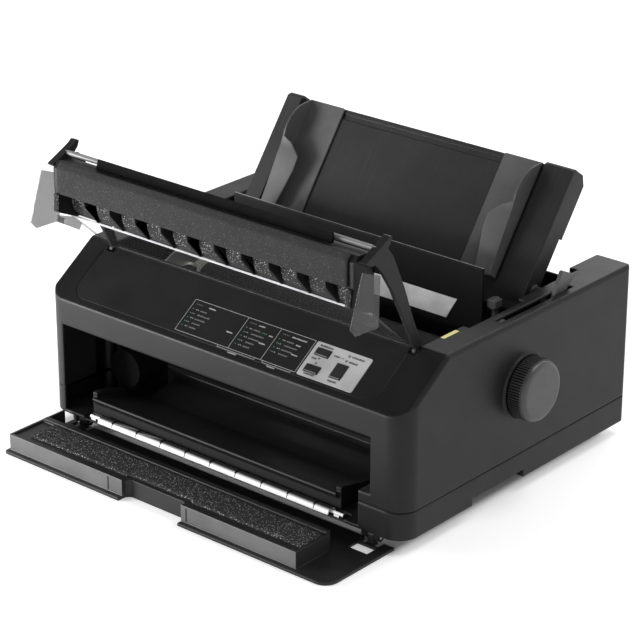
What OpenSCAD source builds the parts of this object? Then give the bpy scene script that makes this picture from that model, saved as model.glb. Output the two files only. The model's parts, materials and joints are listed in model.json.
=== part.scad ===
// Dot matrix printer with its two covers open.
// Row frame: X to the right, Y to the rear, Z up, origin under the middle of the case on the floor.
// Most pieces are drawn in the case frame, which starts at the front face and the case's bottom edge.

/* [Case] */
// Width of the case
body_w = 429; // [420:1:445]
// Depth of the case
body_d = 331; // [320:1:345]
// Height of the case above its bottom edge
body_h = 157; // [152:1:172]
// Height of the seam between the two case halves
seam_h = 26.5; // [24:0.5:30]
// Height where the front face ends and the sloping panel starts
fascia_h = 116; // [113:1:120]
// Depth of the sloping panel
slope_d = 59.5; // [57:0.5:61]
// Radius of the front corners
corner_r = 20; // [14:1:28]
// Radius of the rear corners
rear_r = 6; // [4:1:12]
// Thickness of the case walls
wall = 3; // [2.4:0.2:3.6]
// Width of the rounding along the top edges
edge_soft = 3; // [2:0.5:5]

/* [Base] */
// Depth of the pan below the case's bottom edge
pan_h = 6; // [4:0.5:8]
// Inset of the pan from the case sides
pan_inset = 16; // [14:1:24]
// Height of the rubber feet under the pan
foot_h = 8; // [6:0.5:10]
// Diameter of a foot
foot_dia = 22; // [16:1:26]

/* [Front opening] */
// Left side of the front opening
open_left = -194; // [-196:1:-190]
// Right side of the front opening
open_right = 178; // [174:1:182]
// Right side of the lower part of the opening
open_low_right = 165; // [163:1:170]
// Height of the step in the opening's right side
step_h = 37; // [32:1:42]
// Height of the opening's top edge
open_top = 90.5; // [88:0.5:96]
// Thickness of the floor under the opening's front edge
sill_h = 1; // [0.8:0.2:2]

/* [Top opening] */
// Width of the strips beside the top opening
strip_w = 30.5; // [29:0.5:33]
// Extra room at each side where the closed cover's ends go
side_room = 6.5; // [6:0.5:8]
// Height of the sill behind the paper feed
rear_sill_h = 126; // [110:1:128]

/* [Platen] */
// Distance of the platen axis behind the front face
platen_y = 169; // [167:1:171]
// Height of the platen axis
platen_z = 91; // [89:0.5:94]
// Diameter of the rubber roller
platen_dia = 36; // [32:1:37]
// Length of the rubber roller
platen_len = 330; // [300:1:334]
// Diameter of the platen shaft
shaft_dia = 10; // [8:0.5:11]
// Diameter of the hand knob
knob_dia = 58; // [50:1:62]
// Length of the hand knob
knob_len = 18; // [14:1:22]

/* [Carriage] */
// Place of the print carriage along the shaft
carriage_x = -70; // [-90:1:-50]
// Diameter of the carriage shaft
guide_dia = 10; // [8:0.5:12]
// Distance of the carriage shaft behind the front face
guide_y = 118; // [114:1:119]
// Height of the carriage shaft
guide_z = 58; // [54:1:60]
// Width of the carriage
carriage_w = 56; // [48:1:64]

/* [Printer cover] */
// Distance of the cover hinge behind the front face
hinge_y = 57.6; // [57.2:0.1:58]
// Depth of the cover hinge below the case top
hinge_drop = 4.4; // [4.2:0.1:5.4]
// Half length of the foam-lined beam
beam_half = 176; // [170:1:177]
// Thickness of the clear window
window_t = 2; // [1.6:0.2:2.6]
// Diameter of the steel bail rod
bail_dia = 5; // [4:0.5:6]
// Distance between the ribs of the foam pockets
pocket_pitch = 31.5; // [28:0.5:33]

/* [Front cover] */
// Left and right edges of the front cover
front_left = -194; // [-197:0.5:-193.5]
front_right = 199; // [196:1:204]
// Length of the front cover
front_len = 89; // [86:1:92]
// Thickness of the front cover's plate
front_t = 3; // [2.4:0.2:3.4]
// Height of the block on the inside of the cover
block_h = 16; // [12:0.5:17]

/* [Sheet guide] */
// Width of the sheet guide
guide_w = 344; // [338:1:346]
// Length of the sheet guide board
board_len = 135; // [128:1:137]
// Lean of the board from upright, in degrees
board_lean = 36; // [32:1:38]
// Width of each edge guide
edge_w = 43; // [36:1:52]

/* [Controls] */
// Width of the pale key plate
plate_w = 62; // [56:1:64]
// Length of a key
key_w = 15.5; // [13:0.5:17]
// Travel of a key
key_travel = 1.2; // [0.8:0.1:1.4]

/* [Hidden] */

$fn = 64;
half_w = body_w / 2;
base_h = pan_h + foot_h;
bay_half = half_w - strip_w;
wide_half = bay_half + side_room;
// Clearances: a shaft in its bore, flat faces that pass each other, faces that only meet
run_gap = 0.05;
pass_gap = 0.5;
seat_gap = 0.02;
eps = 0.01;

platen_r = platen_dia / 2;
shaft_r = shaft_dia / 2;
hinge_z = body_h - hinge_drop;
slope_rise = body_h - fascia_h;
slope_angle = atan2(slope_rise, slope_d);
slope_len = sqrt(slope_rise * slope_rise + slope_d * slope_d);
frame_x = half_w - 22;
frame_t = 2;

// Places a piece drawn in the case frame
module seat() translate([0, -body_d / 2, base_h]) children();
// Sweeps a side profile, drawn as (y, z), along X from x0 to x1
module along_x(x0, x1) translate([x0, 0, 0]) rotate([90, 0, 90]) linear_extrude(x1 - x0) children();
// Round bar along X
module bar_x(x0, x1, y, z, r) translate([x0, y, z]) rotate([0, 90, 0]) cylinder(h = x1 - x0, r = r);
// Box between two corners
module block(a, b) translate(a) cube([b[0] - a[0], b[1] - a[1], b[2] - a[2]]);
// Both sides of a symmetric pair
module pair() {
    children();
    mirror([1, 0, 0]) children();
}
// Plate outline with front corners of one radius and rear corners of another, grown inwards by inset
module plan(inset) {
    rf = max(corner_r - inset, 1);
    rr = max(rear_r - inset, 1);
    w = half_w - inset;
    y0 = inset;
    y1 = body_d - inset;
    union() {
        for (s = [-1, 1]) {
            translate([s * (w - rf), y0 + rf]) circle(r = rf);
            translate([s * (w - rr), y1 - rr]) circle(r = rr);
        }
        translate([-(w - rf), y0]) square([2 * (w - rf), rf + 1]);
        translate([-(w - rr), y1 - rr - 1]) square([2 * (w - rr), rr + 1]);
        translate([-w, y0 + rf]) square([2 * w, y1 - rr - y0 - rf]);
    }
}
// Point on the sloping panel: distance up the slope and height above it
function slope_pt(s, h) = [s * cos(slope_angle) - h * sin(slope_angle),
    fascia_h + s * sin(slope_angle) + h * cos(slope_angle)];
// Moves a flat piece, drawn on XY with Y up the slope, onto the sloping panel
module on_slope() translate([0, 0, fascia_h]) rotate([slope_angle, 0, 0]) children();
// Rectangle with rounded corners, by its corners
module soft_rect(a, b, r) {
    union() {
        translate([a[0] + r, a[1]]) square([b[0] - a[0] - 2 * r, b[1] - a[1]]);
        translate([a[0], a[1] + r]) square([b[0] - a[0], b[1] - a[1] - 2 * r]);
        for (x = [a[0] + r, b[0] - r], y = [a[1] + r, b[1] - r]) translate([x, y]) circle(r = r);
    }
}

// Side outline of the case, the slope and the top moved inwards by inset
function case_side(inset, z0) = [[-10, z0 - 1], [-10, fascia_h - 10 * tan(slope_angle) - inset / cos(slope_angle)],
    [slope_d + (inset / cos(slope_angle) - inset) / tan(slope_angle), body_h - inset],
    [body_d + 10, body_h - inset], [body_d + 10, z0 - 1]];
// Case shell solid: the plan with its rounded corners, cut by the slope, with its upper side edges broken
module case_solid(inset, z0) {
    w = half_w - inset;
    intersection() {
        translate([0, 0, z0]) linear_extrude(body_h - z0) plan(inset);
        hull() {
            along_x(-w + edge_soft, w - edge_soft) polygon(case_side(inset, z0));
            along_x(-w, w) polygon(case_side(inset + edge_soft, z0));
        }
    }
}

// Front opening outline, seen from the front as (x, z)
module front_outline(z0) {
    polygon([[open_left, z0], [open_low_right, z0], [open_low_right, step_h], [open_right, step_h],
        [open_right, open_top], [open_left, open_top]]);
}
module through_front(depth, z0) translate([0, depth, 0]) rotate([90, 0, 0]) linear_extrude(depth + 5)
    front_outline(z0);

// Lower case
grip_y = [98, 172];
grip_h = 7.4;
grip_in = 14;
lug_x = 181;
lug_t = 6;
front_axis_y = 6;
front_axis_z = -4;
pin_r = 2;
lug_r = 4;
post_r = 5;
screw_xy = [for (y = [60, body_d - 36], x = [-195, 195]) [x, y]];
module lower_case() color([0.13, 0.13, 0.135]) seat() difference() {
    union() {
        difference() {
            linear_extrude(seam_h) plan(0);
            translate([0, 0, wall]) linear_extrude(seam_h) plan(wall);
            // Shadow groove below the seam
            translate([0, 0, seam_h - 0.8]) difference() {
                linear_extrude(1) plan(-1);
                translate([0, 0, -1]) linear_extrude(3) plan(0.8);
            }
        }
        translate([0, 0, -pan_h]) difference() {
            linear_extrude(pan_h + eps) plan(pan_inset);
            translate([0, 0, wall]) linear_extrude(pan_h) plan(pan_inset + wall);
        }
        pair() block([half_w - grip_in - 2, grip_y[0] - 3, 0], [half_w - wall + eps, grip_y[1] + 3, grip_h + 2]);
        // Lugs that carry the front cover
        pair() for (x = [lug_x, lug_x - 14]) difference() {
            union() {
                block([x, front_axis_y - lug_r, front_axis_z], [x + lug_t, front_axis_y + lug_r + 6, eps]);
                bar_x(x, x + lug_t, front_axis_y, front_axis_z, lug_r);
            }
            bar_x(x - 1, x + lug_t + 1, front_axis_y, front_axis_z, pin_r + run_gap);
        }
        for (p = screw_xy) translate([p[0], p[1], 0]) cylinder(h = seam_h, r = post_r);
    }
    pair() block([half_w - grip_in, grip_y[0], -1], [half_w + 1, grip_y[1], grip_h]);
    block([open_left, -1, wall], [open_low_right, wall + 1, seam_h + 1]);
    // Trough of the front guide strip
    block([strip_mid - strip_half - 18, -1, sill_h], [strip_mid + strip_half + 18, strip_y + strip_r + 0.8, wall + 1]);
    for (p = screw_xy) translate([p[0], p[1], -pan_h - 1]) cylinder(h = seam_h + pan_h + 2, r = 1.6);
    for (p = screw_xy) translate([p[0], p[1], -pan_h - 1]) cylinder(h = pan_h + 4, r = 3.4);
    // Openings for the rear sockets
    block([inlet_x - inlet_w / 2 - seat_gap, body_d - wall - 1, inlet_z - inlet_h / 2 - seat_gap],
        [inlet_x + inlet_w / 2 + seat_gap, body_d + 1, seam_h + 1]);
}

// Rear sockets
inlet_x = -150;
inlet_z = 23;
inlet_w = 28;
inlet_h = 21;
port_x = 95;
port_z = 44;
port_w = 62;
port_h = 14;
switch_x = -112;
switch_z = 46;
switch_w = 20;
switch_h = 13;

// Upper case
slot_x = [half_w - 17, half_w - 10];
slot_y = [145, 252];
tunnel_d = 42;
collar_r = 31;
rear_half = bay_half - 8.5;
rear_block_y = body_d - 44;
module upper_case() color([0.13, 0.13, 0.135]) seat() difference() {
    union() {
        difference() {
            case_solid(0, seam_h);
            case_solid(wall, seam_h - 1);
        }
        intersection() {
            case_solid(1, seam_h);
            union() {
                // Side walls and ceiling of the front opening
                block([open_left - wall, 1, seam_h], [open_left, tunnel_d, open_top + wall]);
                block([open_right, 1, seam_h], [open_right + wall, tunnel_d, open_top + wall]);
                block([open_left - wall, 1, open_top], [open_right + wall, tunnel_d, open_top + wall]);
                block([open_low_right, 1, seam_h], [open_right + eps, tunnel_d, step_h]);
                // Hinge seats of the printer cover
                pair() along_x(bay_half, bay_half + 8)
                    polygon([[hinge_y - 8, hinge_z - 8], [hinge_y - 8, hinge_z + 6], [hinge_y + 7, hinge_z + 6],
                        [hinge_y + 7, hinge_z - 8]]);
                // Ears of the power switch
                for (s = [-1, 1]) block([switch_x + s * (switch_w / 2 + 1.5) - 1.5, switch_y - 3, switch_z - 4],
                    [switch_x + s * (switch_w / 2 + 1.5) + 1.5, body_d - 2, switch_z + 4]);
                // Inner and front faces of the two rear blocks
                pair() block([rear_half, rear_block_y, body_h - 45], [rear_half + 2.4, body_d - 2, body_h]);
                pair() block([rear_half, rear_block_y, body_h - 45], [bay_half + 4, rear_block_y + 2.4, body_h]);
                // Hinge seats of the sheet guide
                pair() block([bay_half, tilt_y - 7, tilt_z - 7], [bay_half + 8, tilt_y + 7, body_h]);
            }
        }
        // Collar round the knob
        bar_x(half_w - 1, half_w + 2, platen_y, platen_z, collar_r);
        // Screw posts, each tied to the side wall by a rib
        for (p = screw_xy) translate([p[0], p[1], seam_h]) {
            cylinder(h = 30, r = post_r);
            block([p[0] < 0 ? wall - 1 - half_w - p[0] : 0, -1.5, 0], [p[0] < 0 ? 0 : half_w - wall + 1 - p[0], 1.5, 30]);
        }
    }
    through_front(wall + 1, seam_h - 2);
    // Paper bay through the top
    block([-bay_half, slope_d, body_h - 20], [bay_half, rear_block_y, body_h + 10]);
    block([-rear_half, rear_block_y - 1, body_h - 20], [rear_half, body_d - 30, body_h + 10]);
    block([-wide_half, 118, body_h - 20], [wide_half, 198, body_h + 10]);
    // Bay floor level opens to the rear
    block([-rear_half, body_d - 31, rear_sill_h], [rear_half, body_d + 1, body_h + 10]);
    // Notches for the cover's hinge arms
    pair() block([bay_half - 8, hinge_y - 6, hinge_z - 6], [bay_half, slope_d + 1, body_h + 5]);
    pair() bar_x(bay_half - 1, bay_half + 12, hinge_y, hinge_z, arm_pin_r + seat_gap);
    pair() bar_x(bay_half - 1, bay_half + 12, tilt_y, tilt_z, tilt_pin_r + seat_gap);
    // Slot of the release lever
    block([slot_x[0], slot_y[0], body_h - 10], [slot_x[1], slot_y[1], body_h + 1]);
    // Shaft hole and the hollow of the collar
    bar_x(half_w - wall - 1, half_w + 4, platen_y, platen_z, shaft_r + 2);
    bar_x(half_w + 0.4, half_w + 4, platen_y, platen_z, collar_r - 2);
    for (p = screw_xy) translate([p[0], p[1], seam_h - 1]) cylinder(h = 26, r = 1.2);
    // Recess of the control panel
    on_slope() translate([0, 0, -panel_t]) linear_extrude(panel_t + 2) panel_outline(seat_gap);
    on_slope() translate([0, 0, -4 * wall]) linear_extrude(4 * wall) key_holes(key_wall);
    on_slope() for (p = lamp_at) translate([p[0], p[1], -4 * wall]) cylinder(h = 4 * wall, r = 1.2);
    // Openings for the rear sockets and the power switch
    block([inlet_x - inlet_w / 2 - seat_gap, body_d - wall - 1, seam_h - 1],
        [inlet_x + inlet_w / 2 + seat_gap, body_d + 1, inlet_z + inlet_h / 2 + seat_gap]);
    block([port_x - port_w / 2 - seat_gap, body_d - wall - 1, port_z - port_h / 2 - seat_gap],
        [port_x + port_w / 2 + seat_gap, body_d + 1, port_z + port_h / 2 + seat_gap]);
    block([switch_x - switch_w / 2, body_d - wall - 1, switch_z - switch_h / 2],
        [switch_x + switch_w / 2, body_d + 1, switch_z + switch_h / 2]);
    bar_x(switch_x - switch_w / 2 - 4, switch_x + switch_w / 2 + 4, switch_y, switch_z, rock_pin_r + run_gap);
    // Cooling slots in the rear wall
    for (i = [0 : 9]) block([-60 + i * 9, body_d - wall - 1, 62], [-56 + i * 9, body_d + 1, 96]);
}

// Control panel in the slope
panel_t = 1.6;
panel_x = [-188, 175.4];
panel_y0 = 7;
panel_r = 17;
panel_notch = -bay_half + 8.5;
module panel_outline(grow) {
    x0 = panel_x[0] - grow;
    x1 = panel_x[1] + grow;
    y1 = slope_len - 3;
    difference() {
        union() {
            soft_rect([x0, panel_y0 - grow], [x1, y1 + grow], panel_r);
            translate([x0, y1 - 2 * panel_r]) square([x1 - x0, 2 * panel_r + grow]);
        }
        // The left hinge arm of the printer cover stands here
        translate([x0 - 1, slope_len - 10 + grow]) square([panel_notch - x0 + 1 - grow, 20]);
    }
}
key_wall = 0.4;
plate_x = 88.5;
plate_y = [9, 45.5];
plate_t = 1.2;
key_d = 7.5;
// Key centres on the plate, measured along X and up the slope
pause_at = [plate_x + 12, plate_y[0] + 27];
feed_at = [plate_x + 12, plate_y[0] + 9];
tear_at = [plate_x + 38, plate_y[0] + 15];
lamp_at = [for (y = [32, 26.5]) [plate_x + 38.5, plate_y[0] + y]];
tear_size = [12, 15];
key_seat = wall + 0.5;
key_rise = 1.7;
module key_holes(grow) {
    for (p = [pause_at, feed_at])
        translate([p[0] - key_w / 2 - grow, p[1] - key_d / 2 - grow]) square([key_w + 2 * grow, key_d + 2 * grow]);
    translate([tear_at[0] - tear_size[0] / 2 - grow, tear_at[1] - tear_size[1] / 2 - grow])
        square([tear_size[0] + 2 * grow, tear_size[1] + 2 * grow]);
}
module control_panel() color([0.09, 0.09, 0.095]) seat() difference() {
    on_slope() translate([0, 0, -panel_t + seat_gap]) linear_extrude(panel_t - seat_gap) difference() {
        panel_outline(0);
        key_holes(key_wall);
        for (p = lamp_at) translate(p) circle(r = 1.2);
    }
    on_slope() translate([0, 0, -0.6]) linear_extrude(3) plate_outline(seat_gap);
}
module plate_outline(grow)
    soft_rect([plate_x - grow, plate_y[0] - grow], [plate_x + plate_w + grow, plate_y[1] + grow], 2);
module key_plate() color([0.62, 0.63, 0.64]) seat() on_slope() translate([0, 0, -0.6 + seat_gap])
    linear_extrude(plate_t) difference() {
        plate_outline(0);
        key_holes(key_wall);
        for (p = lamp_at) translate(p) circle(r = 1.2);
    }
module panel_lamps() color([0.45, 0.5, 0.42]) seat() on_slope()
    for (p = lamp_at) translate([p[0], p[1], -panel_t - 0.4]) cylinder(h = plate_t + panel_t + 0.2, r = 1.15);
// A key: a cap in its hole over a wider foot inside the case
module key_body(at, size) on_slope() translate([at[0], at[1], 0]) {
    translate([-size[0] / 2, -size[1] / 2, -key_seat]) cube([size[0], size[1], key_seat + key_rise]);
    translate([-size[0] / 2 - 1.5, -size[1] / 2 - 1.5, -key_seat - 1.5]) cube([size[0] + 3, size[1] + 3, 1.5 + eps]);
    translate([0, 0, -key_seat - 3.5]) cylinder(h = 3, r = 2);
}
module pause_key() color([0.05, 0.05, 0.05]) seat() key_body(pause_at, [key_w, key_d]);
module feed_key() color([0.05, 0.05, 0.05]) seat() key_body(feed_at, [key_w, key_d]);
module tear_key() color([0.05, 0.05, 0.05]) seat() key_body(tear_at, tear_size);

// Feet and screws under the base
foot_xy = concat([for (y = [40, body_d - 41], x = [-175, 175]) [x, y]], [[0, body_d / 2]]);
module rubber_feet() color([0.08, 0.08, 0.08]) seat() for (p = foot_xy)
    translate([p[0], p[1], -base_h]) cylinder(h = foot_h, r = foot_dia / 2);
module case_screws() color([0.5, 0.5, 0.52]) seat() for (p = screw_xy) translate([p[0], p[1], 0]) {
    translate([0, 0, 1]) cylinder(h = 2, r = 2.9);
    cylinder(h = seam_h + 12, r = 1.15);
}

// Side frames of the mechanism
frame_floor = wall;
frame_pts = [[70, frame_floor], [282, frame_floor], [282, 104], [262, 118], [205, 118], [150, 118],
    [70, 84]];
module frame_plate(x0) difference() {
    along_x(x0, x0 + frame_t) polygon(frame_pts);
    bar_x(x0 - 1, x0 + frame_t + 1, platen_y, platen_z, bush_r + seat_gap);
    bar_x(x0 - 1, x0 + frame_t + 1, guide_y, guide_z, guide_dia / 2 + seat_gap);
    along_x(x0 - 1, x0 + frame_t + 1) soft_rect([212, 30], [268, 80], 6);
}
lever_y = 232;
lever_z = 92;
module side_frame_right() color([0.55, 0.56, 0.58]) seat() difference() {
    frame_plate(frame_x);
    bar_x(frame_x - 1, frame_x + 5, lever_y, lever_z, pin_r + seat_gap);
}
module side_frame_left() color([0.55, 0.56, 0.58]) seat() frame_plate(-frame_x - frame_t);

// Carriage shaft and rail
module carriage_shaft() color([0.75, 0.75, 0.77]) seat()
    bar_x(-frame_x - frame_t - 2, frame_x + frame_t + 2, guide_y, guide_z, guide_dia / 2);
rail_y = 86;
rail_z = 70;
module carriage_rail() color([0.55, 0.56, 0.58]) seat() along_x(-frame_x + eps, frame_x - eps)
    polygon([[rail_y, rail_z], [rail_y + 14, rail_z], [rail_y + 14, rail_z + 1.6], [rail_y + 1.6, rail_z + 1.6],
        [rail_y + 1.6, rail_z + 10], [rail_y, rail_z + 10]]);

// Front paper path
guide_left_x = -167;
guide_right_x = 133;
guide_mid_y = 52;
guide_in = 24;
module front_paper_guide() color([0.1, 0.1, 0.1]) seat() {
    // Wide front board, then a narrower one that rises to the platen between the motor and the idle pulley
    along_x(guide_left_x, guide_right_x) polygon([[12.4, wall], [12.4, 13], [8, 18], [9, 20], [14, 19], [62, 9],
        [62, wall]]);
    along_x(guide_left_x + guide_in, guide_right_x - guide_in / 3) polygon([[guide_mid_y, wall], [62, 9],
        [112, 22], [135, 46], [138, 44], [115, 18], [64, wall]]);
    for (x = [guide_left_x, guide_right_x]) along_x(x - 3, x + 3)
        polygon([[12.4, wall], [12.4, 24], [16, 25], [guide_mid_y, 17], [guide_mid_y, wall]]);
}
strip_r = 5.5;
strip_y = strip_r - 0.1;
strip_z = 0.8;
strip_half = 141.5;
strip_t = 1.2;
bar_up = 2.2;
strip_mid = -10.5;
module front_guide_strip() color([0.86, 0.87, 0.88]) seat() difference() {
    bar_x(strip_mid - strip_half, strip_mid + strip_half, strip_y, strip_z, strip_r);
    bar_x(strip_mid - strip_half - 1, strip_mid + strip_half + 1, strip_y, strip_z, strip_r - strip_t);
    block([strip_mid - strip_half - 1, -10, -20], [strip_mid + strip_half + 1, 30, sill_h + 0.1]);
    // Slots for the ribs of the shaft
    for (i = [-4 : 4]) block([strip_mid + i * rib_pitch - 0.75, -10, rib_low - 0.05],
        [strip_mid + i * rib_pitch + 0.75, 30, 20]);
}
rib_pitch = 31;
rib_low = 2.3;
module front_guide_shaft() color([0.2, 0.2, 0.2]) seat() {
    bar_x(strip_mid - strip_half - 14, strip_mid + strip_half + 14, strip_y, strip_z + bar_up, 1.6);
    for (i = [-4 : 4]) difference() {
        bar_x(strip_mid + i * rib_pitch - 0.7, strip_mid + i * rib_pitch + 0.7, strip_y, strip_z, strip_r + 0.6);
        block([strip_mid + i * rib_pitch - 1, -10, -20], [strip_mid + i * rib_pitch + 1, 30, rib_low]);
    }
    for (s = [-1, 1]) block([strip_mid + s * (strip_half + 8) - 3, strip_y - 3, sill_h],
        [strip_mid + s * (strip_half + 8) + 3, strip_y + 3, strip_z + bar_up]);
}

// Paper path behind and under the platen
trough_r = platen_r + 2.2;
trough_half = platen_len / 2 - 2;
module rear_paper_guide() color([0.1, 0.1, 0.1]) seat() {
    difference() {
        union() {
            bar_x(-trough_half, trough_half, platen_y, platen_z, trough_r + 2);
            block([-trough_half, platen_y, platen_z - trough_r - 14],
                [trough_half, platen_y + 3, platen_z - trough_r - 1]);
        }
        bar_x(-trough_half - 1, trough_half + 1, platen_y, platen_z, trough_r);
        block([-trough_half - 1, platen_y - 40, platen_z - 11], [trough_half + 1, platen_y, platen_z + 60]);
        block([-trough_half - 1, platen_y - 1, platen_z + 8], [trough_half + 1, platen_y + 40, platen_z + 60]);
    }
    // Legs down to the case floor
    pair() block([100, platen_y, wall], [112, platen_y + 6, platen_z - trough_r - 1]);
}
plate_b_y = 190;
plate_b_half = 150;
plate_b_top = 178.7;
module tear_plate() color([0.06, 0.06, 0.065]) seat() {
    difference() {
        along_x(-plate_b_half, plate_b_half) polygon([[plate_b_y, 102], [plate_b_y, plate_b_top - 2],
            [plate_b_y + 0.6, plate_b_top], [plate_b_y + 2, plate_b_top], [plate_b_y + 2, 104],
            [plate_b_y + 34, 92], [plate_b_y + 34, 90], [plate_b_y + 1.2, 101]]);
        for (x = [-120 : 60 : 120]) block([x - 8, plate_b_y + 10, 80], [x + 8, plate_b_y + 26, 112]);
    }
    pair() block([plate_b_half - eps, plate_b_y, 102], [frame_x - eps, plate_b_y + 2, 116]);
}
module tear_strip() color([0.8, 0.82, 0.84]) seat() translate([0, plate_b_y - seat_gap, 0]) rotate([90, 0, 0])
    linear_extrude(0.6) polygon([[-122, 142], [122, 142], [110, 121], [-110, 121]]);

// Electronics
board_z = 12;
board_y = [228, body_d - 14];
board_mid = (board_y[0] + board_y[1]) / 2;
module main_board() color([0.1, 0.3, 0.18]) seat() difference() {
    union() {
        block([-20, board_y[0], board_z], [182, board_y[1], board_z + 1.6]);
        for (y = [board_y[0] + 8, board_y[1] - 8], x = [0, 60, 120, 174]) translate([x, y, wall])
            cylinder(h = board_z - wall + eps, r = 3);
        block([30, board_mid - 20, board_z + 1.5], [54, board_mid + 4, board_z + 4]);
        for (x = [90, 120]) block([x, board_mid - 26, board_z + 1.5], [x + 14, board_mid + 6, board_z + 5]);
        for (x = [146, 160, 172]) translate([x, board_mid - 10, board_z + 1.5]) cylinder(h = 16, r = 5);
    }
    translate([8, board_y[1] - 24, board_z - 1]) cylinder(h = 4, r = 1.6);
}
module interface_connector() color([0.75, 0.76, 0.78]) seat() difference() {
    union() {
        block([port_x - port_w / 2, body_d - 24, port_z - port_h / 2], [port_x + port_w / 2, body_d - 0.5,
            port_z + port_h / 2]);
        block([port_x - 26, body_d - 24, board_z + 1.6], [port_x + 26, body_d - 16, port_z]);
    }
    block([port_x - port_w / 2 + 6, body_d - 10, port_z - 4], [port_x + port_w / 2 - 6, body_d, port_z + 4]);
}
// Power supply: a base plate that ends before the inlet, with its transformer, cooling plate and capacitors
supply_y = [222, body_d - 30];
supply_z = wall + 4;
coil_d = (supply_y[1] - supply_y[0]) * 0.6;
module power_supply() color([0.25, 0.25, 0.27]) seat() {
    block([-180, supply_y[0], wall], [-60, supply_y[1], supply_z]);
    block([-172, supply_y[0] + 8, supply_z - eps], [-128, supply_y[0] + 8 + coil_d, 50]);
    block([-118, supply_y[0] + 8, supply_z - eps], [-112, supply_y[1] - 8, 40]);
    for (x = [-98, -76]) translate([x, supply_y[0] + coil_d / 2, supply_z - eps]) cylinder(h = 32, r = 9);
}
module power_inlet() color([0.07, 0.07, 0.07]) seat() {
    difference() {
        block([inlet_x - inlet_w / 2, body_d - 24, inlet_z - inlet_h / 2], [inlet_x + inlet_w / 2, body_d - 0.4,
            inlet_z + inlet_h / 2]);
        block([inlet_x - inlet_w / 2 + 2.5, body_d - 18, inlet_z - inlet_h / 2 + 2.5],
            [inlet_x + inlet_w / 2 - 2.5, body_d, inlet_z + inlet_h / 2 - 2.5]);
    }
    block([inlet_x - inlet_w / 2, body_d - 26, wall], [inlet_x + inlet_w / 2, body_d - 20, inlet_z]);
    for (p = [[-7, -2], [7, -2], [0, 3]]) block([inlet_x + p[0] - 1, body_d - 19, inlet_z + p[1] - 2.5],
        [inlet_x + p[0] + 1, body_d - 6, inlet_z + p[1] + 2.5]);
}
// Rocker of the power switch, on its own pivot inside the rear wall
rock_w = switch_w - 1.2;
rock_h = switch_h - 1.2;
rock_pin_r = 1.2;
switch_y = body_d - 6;
module power_switch() color([0.05, 0.05, 0.05]) seat() translate([switch_x, switch_y, switch_z]) {
    rotate([90, 0, 90]) translate([0, 0, -rock_w / 2]) linear_extrude(rock_w)
        polygon([[-5, -rock_h / 2 + 1], [4, -rock_h / 2 + 0.9], [7.4, -rock_h / 2 + 0.9], [5.6, 0],
            [6.2, rock_h / 2 - 1.1], [3, rock_h / 2 - 0.8], [-5, rock_h / 2 - 1.8]]);
    bar_x(-switch_w / 2 - 2.5, switch_w / 2 + 2.5, 0, 0, rock_pin_r);
}

// Carriage drive: motor, two pulleys and the belt
belt_y = 98;
belt_z = 34;
pulley_r = 7.8;
pulley_x = 168;
belt_w = 6;
belt_t = 1.4;
module carriage_motor() color([0.3, 0.3, 0.32]) seat() {
    translate([-pulley_x, belt_y - 8, belt_z]) rotate([90, 0, 0]) cylinder(h = 36, r = 19);
    block([-pulley_x - 20, belt_y - 8, wall], [-pulley_x + 20, belt_y - 6, belt_z + 20]);
    translate([-pulley_x, belt_y + 7, belt_z]) rotate([90, 0, 0]) cylinder(h = 14, r = 2.5);
    // Stud of the idle pulley at the other end
    translate([pulley_x, belt_y + 7, belt_z]) rotate([90, 0, 0]) cylinder(h = 15, r = 2.5);
    block([pulley_x - 8, belt_y - 10, wall], [pulley_x + 8, belt_y - 7.5, belt_z + 8]);
}
module pulley(x) translate([x, belt_y, belt_z]) rotate([90, 0, 0]) difference() {
    union() {
        translate([0, 0, -4]) cylinder(h = 8, r = pulley_r);
        for (z = [-5, 4]) translate([0, 0, z]) cylinder(h = 1, r = pulley_r + 1.6);
    }
    translate([0, 0, -6]) cylinder(h = 12, r = 2.5 + run_gap);
}
module drive_pulley() color([0.6, 0.55, 0.4]) seat() pulley(-pulley_x);
module idle_pulley() color([0.6, 0.6, 0.6]) seat() pulley(pulley_x);
belt_in = pulley_r + 0.3;
module drive_belt() color([0.08, 0.08, 0.08]) seat() translate([0, belt_y + belt_w / 2, belt_z]) rotate([90, 0, 0])
    linear_extrude(belt_w) difference() {
        union() {
            for (s = [-1, 1]) translate([s * pulley_x, 0]) circle(r = belt_in + belt_t);
            translate([-pulley_x, -belt_in - belt_t]) square([2 * pulley_x, 2 * (belt_in + belt_t)]);
        }
        for (s = [-1, 1]) translate([s * pulley_x, 0]) circle(r = belt_in);
        translate([-pulley_x, -belt_in]) square([2 * pulley_x, 2 * belt_in]);
    }

// Paper feed drive: motor, pinion, reduction gear and the platen's gear
tooth = 1;
platen_teeth = 38;
mid_teeth = 30;
pinion_teeth = 12;
gear_x = -176;
gear_t = 6;
mid_angle = -60;
pinion_angle = -40;
mid_dist = tooth * (platen_teeth + mid_teeth) / 2;
pinion_dist = tooth * (mid_teeth + pinion_teeth) / 2;
mid_y = platen_y + mid_dist * cos(mid_angle);
mid_z = platen_z + mid_dist * sin(mid_angle);
pinion_y = mid_y + pinion_dist * cos(pinion_angle);
pinion_z = mid_z + pinion_dist * sin(pinion_angle);
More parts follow.
